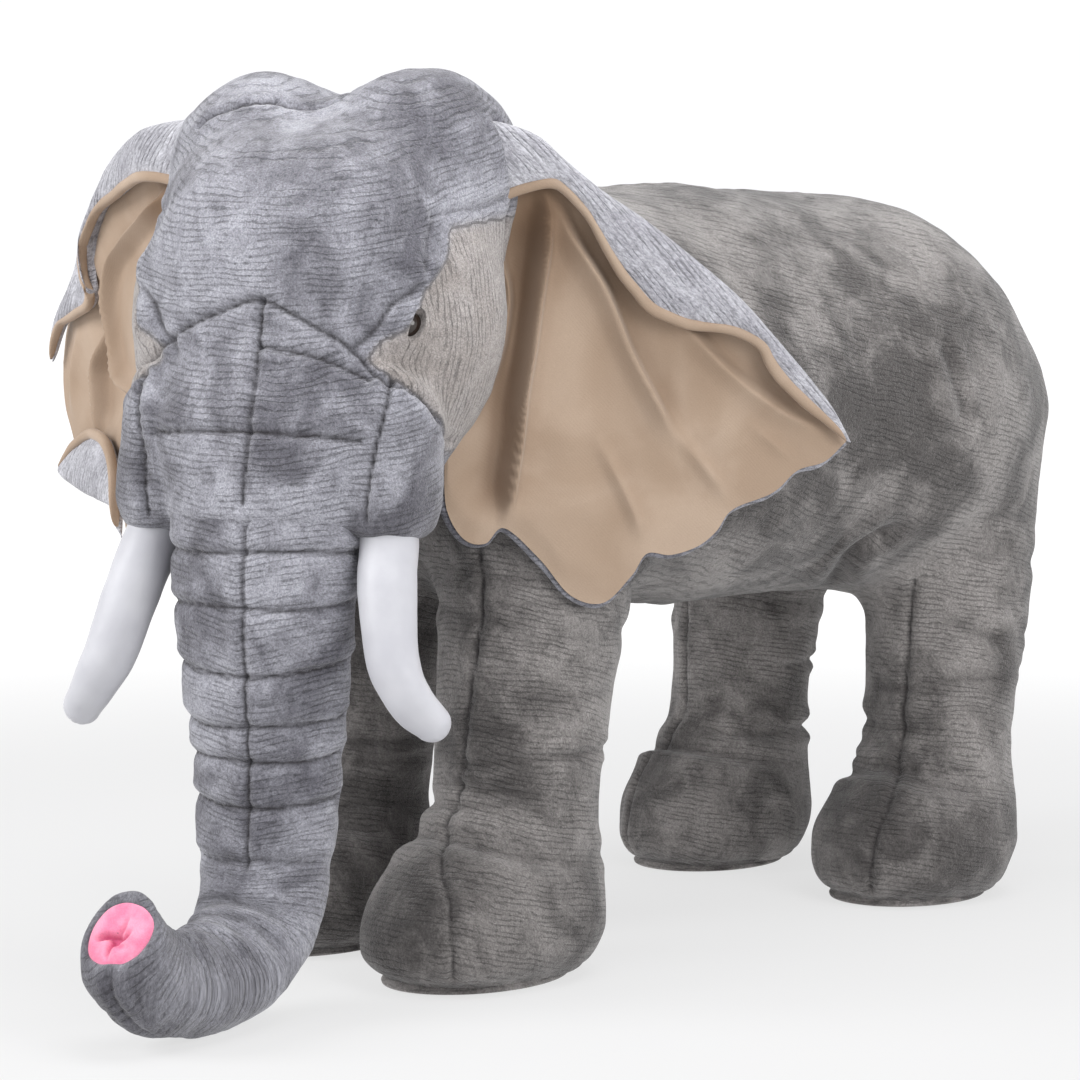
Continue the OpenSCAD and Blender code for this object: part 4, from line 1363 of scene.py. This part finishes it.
def make_ear(name, side):
    root, reach, out = ear_frame(side)
    ear = EARS[name]

    def place(flat, depth):
        """Ear points (reach, height) and depth out of the lining, in the row frame."""
        flat = np.asarray(flat, float)
        # The seam draws the ear's root into the head, and the inner lobe hangs clear of the front leg
        sunk = 0.016 * (1 - ramp(flat[:, 0], -0.030, 0.035)) * ramp(flat[:, 1], 0.50, 0.60)
        clear = 0.006 * ramp(0.43 - flat[:, 1], 0, 0.05) * ramp(0.13 - flat[:, 0], 0, 0.04)
        depth = depth - sunk + clear
        return from_head(root + flat[:, :1] * reach + flat[:, 1:] * UP + depth[:, None] * out)

    # The order of each face's corners, so that both ears' faces look outwards
    flip = slice(None, None, -1) if side > 0 else slice(None)
    outline = np.vstack([smooth_line(ear["top"], 12)[:-1], smooth_line(ear["hem"], 10)])
    rings = 120
    shares = np.linspace(0.02, 1, rings) ** 0.9
    flat = (EAR_HEART + shares[:, None, None] * (outline - EAR_HEART)).reshape(-1, 2)
    share = np.repeat(shares, len(outline))
    depth, shade = ear_depth(flat, ear["folds"])
    # Painted shadow: the lining is darkest in the pocket under its folded rim
    pocket = bump_at(np.hypot(flat[:, 0] - 0.014, (flat[:, 1] - 0.628) * 0.6), 0, 0.030)
    shade = np.maximum(0.55 * shade, 0.85 * pocket)
    rim = ramp(share, 0.90, 1.0)
    depth = 0.006 + depth * (1 - 0.55 * rim) - 0.003 * rim
    faces = grid_faces(rings, len(outline))
    flow = np.column_stack([flat, depth])
    lining = mesh_piece(name + "_ear_lining_velour", place(flat, depth), faces[:, flip], EAR_VELOUR,
                        {"flow": flow, "shade": shade})
    finish_piece(lining, name + "_ear", "ear_velour", name + "_ear_lining")

    lumps = 0.0030 * fbm(flow, 0.06, 3, 23)
    behind = np.minimum(depth - 0.003, 0.001 + 0.35 * depth) - (0.0040 + lumps) * (1 - share**10)
    back = mesh_piece(name + "_ear_back_plush", place(flat, behind), faces[:, ::-1][:, flip],
                      HEAD_PLUSH, unshaded(np.column_stack([flat[:, 0], depth, flat[:, 1]])))
    finish_piece(back, name + "_ear", "head_plush", name + "_ear_back")
    make_rim(name, "rim", ear["top"], ear["binding"], 0.0115, place, flip)
    make_hem(name, place, ear)
    if name == "right":
        make_rim(name, "corner", CORNER_LOW, CORNER_HIGH, 0.0100, place, slice(None, None, -1))


def rim_profile(low, high, thick, sides, middle_depth):
    """Points round a flat puffy roll between two points of the ear's plane, and their depths."""
    turns = once_round(sides)
    across = np.cos(turns)
    swell = np.sin(turns)
    swell = np.sign(swell) * np.abs(swell) ** 0.8
    middle = (low + high) / 2
    return middle + across[:, None] * (high - low) / 2, middle_depth + thick * swell


def make_rim(name, part, outer, inner, thick, place, flip):
    """Plush that folds over the front of the ear, and the binding along its free edge."""
    count = 150
    outer = evenly(smooth_line(outer, 12), count)
    inner = evenly(smooth_line(inner, 12), count)
    flats, depths, flows = [], [], []
    for i in range(count):
        t = i / (count - 1)
        swell = thick * (1 - 0.35 * t) * math.sqrt(max(1 - t**12 - (1 - t)**60, 0.02))
        flat, depth = rim_profile(inner[i], outer[i], swell, RIM_SIDES, RIM_DEPTH)
        flats.append(flat)
        depths.append(depth)
        flows.append(np.column_stack([flat[:, 1] * 0.6, depth, flat[:, 0] * 0.75 + flat[:, 1] * 0.66]))
    flat, depth, flow = (np.concatenate(x) for x in (flats, depths, flows))
    depth = depth + 0.0020 * fbm(flow, 0.045, 3, 25) * np.sign(depth - RIM_DEPTH)
    faces = grid_faces(count, RIM_SIDES, True)
    # The rim is the head's plush, lighter: painted light
    strip = mesh_piece(f"{name}_ear_{part}_plush", place(flat, depth), faces[:, flip], EAR_RIM_LIT_PLUSH,
                       unshaded(flow))
    finish_piece(strip, name + "_ear", "head_plush", fill=0.6)
    make_binding(name, part, outer, inner, place, flip)


def make_binding(name, part, outer, inner, place, flip):
    """The flat rolled band of lining cloth along the free edge of a folded rim."""
    inward = outer - inner
    inward /= np.linalg.norm(inward, axis=1, keepdims=True) + 1e-9
    flats, depths = [], []
    for i, (at, way) in enumerate(zip(inner, inward)):
        t = i / (len(inner) - 1)
        end = math.sqrt(max(1 - t**30, 0.05))
        flat, depth = rim_profile(at - 0.0046 * way * end, at + 0.0052 * way * end, 0.0046 * end,
                                  BINDING_SIDES, 0.0168 - 0.002 * t)
        flats.append(flat)
        depths.append(depth)
    flat, depth = np.concatenate(flats), np.concatenate(depths)
    flow = np.column_stack([flat, depth])
    flat = flat + 0.0006 * noise(flow, 0.02, 28)[:, None]
    extra = {"flow": flow, "shade": np.zeros(len(flat))}
    faces = grid_faces(len(inner), BINDING_SIDES, True)
    band = mesh_piece(f"{name}_ear_{part}_binding", place(flat, depth), faces[:, flip], EAR_VELOUR,
                      extra)
    finish_piece(band, name + "_ear", "ear_velour")


def make_hem(name, place, ear):
    """The rolled plush edge that shows behind the lining along the hem."""
    hem = evenly(smooth_line(ear["hem"], 10), 220)
    depth, _ = ear_depth(hem, ear["folds"])
    edge = place(hem, 0.45 * depth - 0.003)
    radii = 0.0036 + 0.0012 * noise(edge, 0.02, 27)
    points, quads = rod(edge, radii, 14)
    roll = weld(mesh_piece(name + "_ear_hem_plush", points, quads, HEAD_PLUSH, unshaded(points)))
    finish_piece(roll, name + "_ear", "head_plush")


def evenly(line, count):
    """The same line with evenly spaced points."""
    run = run_along(line)
    at = np.linspace(0, run[-1], count)
    return np.stack([np.interp(at, run, line[:, k]) for k in range(line.shape[1])], 1)


# ---- Neck, tail and the hard pieces ----

# Middles of the neck's two rounds, in the shoulders and in the head
NECK_BACK = (0, -0.190, 0.500)
NECK_FRONT = (0, -0.290, 0.520)


def neck_field(p):
    d = ellipsoid(p, NECK_BACK, (0.124, 0.110, 0.126))
    return soft_union(d, ellipsoid(p, NECK_FRONT, (0.105, 0.100, 0.108)), 0.03)


def make_neck():
    neck = Skin(neck_field, (-0.15, -0.42, 0.34), (0.15, -0.05, 0.66), NECK_VOXEL)
    neck.lift += 0.003 * fbm(neck.points, 0.07, 3, 31)
    for back in (-0.215, -0.240, -0.268):
        turns = np.radians(np.linspace(-200, 20, 23))
        fold = np.stack([0.12 * np.cos(turns), back + 0 * turns, 0.51 + 0.12 * np.sin(turns)], 1)
        neck.crease(fold, 0.006, 0.004, 0.4)
    neck.flow[:, 2] = neck.points[:, 2] + 0.3 * neck.points[:, 1]
    neck.settle()
    sleeve = neck.piece("neck_sleeve_plush", from_body, BODY_PLUSH)
    start, end = from_body(NECK_BACK), from_body(NECK_FRONT)
    bend_piece(sleeve, "torso", "neck", start, end, "body_plush", "neck_core", fill=0.8)


# The tail's middle line with its radius
TAIL = [(0, 0.436, 0.512, 0.015), (0, 0.450, 0.498, 0.0135), (0, 0.466, 0.470, 0.0125),
        (0, 0.474, 0.400, 0.0112), (0, 0.470, 0.330, 0.0104), (0, 0.466, 0.266, 0.0094)]


def make_tail():
    line = smooth_line(TAIL, 20)
    sides = 40
    _, across, up = frames_along(line[:, :3])
    turns = once_round(sides)
    rows = [at[:3] + ring(turns, a, u) * at[3] for at, a, u in zip(line, across, up)]
    points = np.concatenate(rows)
    points[:, :2] += 0.0010 * noise(points, 0.02, 33)[:, None]
    tail = mesh_piece("tail_plush", from_body(points), grid_faces(len(rows), sides, True)[:, ::-1],
                      BODY_PLUSH, unshaded(points))
    finish_piece(tail, "tail", "body_plush", "tail_skin", "tail_filling", fill=0.8)
    # The tuft: loose strands that spread out from the tail's end
    random = np.random.default_rng(8)
    strands = []
    for _ in range(150):
        turn = random.uniform(0, 2 * math.pi)
        away = math.sqrt(random.uniform(0, 1))
        splay = 0.004 + 0.011 * away
        length = random.uniform(0.058, 0.078)
        t = np.linspace(0, 1, 9)
        spread = 0.006 * away + splay * np.sin(np.minimum(t * 1.25, 1) * math.pi * 0.72)
        curl = 0.0012 * np.sin(t * 14 + turn * 3)
        strand = np.stack([spread * math.cos(turn) + curl, 0.466 + spread * math.sin(turn) + curl,
                           0.272 - length * t], 1)
        strands.append(rod(strand, 0.0011 * (1 - 0.5 * t**3), 6))
    points, quads = join(strands)
    tuft = weld(mesh_piece("tail_tuft_yarn", from_body(points), quads, TUFT_YARN))
    finish_piece(tuft, "tail", "tuft_yarn", "tail_tuft")


def paint_hard_pieces():
    looks = {"front_frame_hoop": STEEL, "rear_frame_hoop": STEEL, "spine_tube": STEEL,
             "eye_washers": WASHER, "left_eye": EYE, "right_eye": EYE}
    looks.update({leg + "_foot_board": BOARD for leg in LEGS})
    for name, material in looks.items():
        mesh = frame["nodes"][name].data
        mesh.materials.clear()
        mesh.materials.append(material)


# ---- Stage ----

def make_stage():
    """A pale floor that brightens into the background, so that no horizon shows."""
    mesh = bpy.data.meshes.new("floor")
    far = 40.0
    corners = [(-far, -far, 0), (far, -far, 0), (far, far, 0), (-far, far, 0)]
    mesh.from_pydata(corners, [], [(0, 1, 2, 3)])
    paint = Paint("floor", Roughness=0.9, Specular_IOR_Level=0.05)
    place = paint.add("TexCoord").outputs["Object"]
    away = paint.add("VectorMath", {"operation": "LENGTH"}, _0=place).outputs["Value"]
    marks = paint.noise(place, 0.6, 3)
    paper = paint.mix(paint.spread(marks, 0.3, 0.7), (0.160, 0.160, 0.162, 1),
                      (0.170, 0.170, 0.172, 1))
    paint.set("Base Color", paper)
    paint.set("Emission Color", (1, 1, 1, 1))
    paint.set("Emission Strength", paint.spread(away, 0.8, 2.8, 0.68, 0.98))
    mesh.materials.append(paint.material)
    floor = bpy.data.objects.new("floor", mesh)
    bpy.context.scene.collection.objects.link(floor)


def make_light(name, place, size, watts):
    """A round white lamp that faces the middle of the toy."""
    lamp = bpy.data.lights.new(name, "AREA")
    lamp.shape = "DISK"
    lamp.size = size
    lamp.energy = watts
    obj = bpy.data.objects.new(name, lamp)
    obj.location = place
    aim = Vector((0.0, 0.0, 0.35)) - Vector(place)
    obj.rotation_euler = aim.to_track_quat("-Z", "Y").to_euler()
    bpy.context.scene.collection.objects.link(obj)


def make_world():
    """White round the horizon and grey above, so that the lamps shape the toy."""
    world = bpy.data.worlds.new("studio")
    world.use_nodes = True
    tree = world.node_tree
    place = tree.nodes.new("ShaderNodeTexCoord")
    split = tree.nodes.new("ShaderNodeSeparateXYZ")
    fade = tree.nodes.new("ShaderNodeMapRange")
    fade.interpolation_type = "SMOOTHSTEP"
    for key, value in (("From Min", 0.20), ("From Max", 0.42), ("To Min", 1.04), ("To Max", 0.42)):
        fade.inputs[key].default_value = value
    tree.links.new(place.outputs["Generated"], split.inputs[0])
    tree.links.new(split.outputs["Z"], fade.inputs["Value"])
    tree.links.new(fade.outputs[0], tree.nodes["Background"].inputs["Strength"])
    tree.nodes["Background"].inputs["Color"].default_value = (0.98, 0.985, 1.0, 1)
    bpy.context.scene.world = world


def make_lighting():
    make_world()
    make_light("key", (-1.0, -2.2, 1.7), 1.4, 50)
    make_light("top", (0.5, 0.0, 2.2), 1.8, 31)
    make_light("fill", (2.6, -0.4, 1.3), 1.5, 28)
    bpy.context.scene.view_settings.view_transform = "Standard"


# Where the camera stands, measured from the middle of the legs, and its angles in degrees
CAMERA_AT = (2.10, -2.19, 0.60)
CAMERA_PITCH = 4.9
CAMERA_AZIMUTH = 45.0
SENSOR_MM = 36.0
LENS_MM = 113.3333


def make_camera():
    camera = bpy.data.cameras.new("camera")
    camera.sensor_width = SENSOR_MM
    camera.lens = LENS_MM
    obj = bpy.data.objects.new("camera", camera)
    obj.location = LEGS_MID + np.array(CAMERA_AT)
    obj.rotation_euler = (math.radians(90 - CAMERA_PITCH), 0, math.radians(CAMERA_AZIMUTH))
    bpy.context.scene.collection.objects.link(obj)
    bpy.context.scene.camera = obj


# ---- The toy ----

make_camera()
make_stage()
make_lighting()
make_body()
for leg_name in LEGS:
    make_sole(leg_name)
make_neck()
make_head()
make_trunk()
make_nostril()
for ear_name, ear_side in (("left", 1), ("right", -1)):
    make_tusk(ear_name, ear_side)
    make_ear(ear_name, ear_side)
make_tail()
paint_hard_pieces()
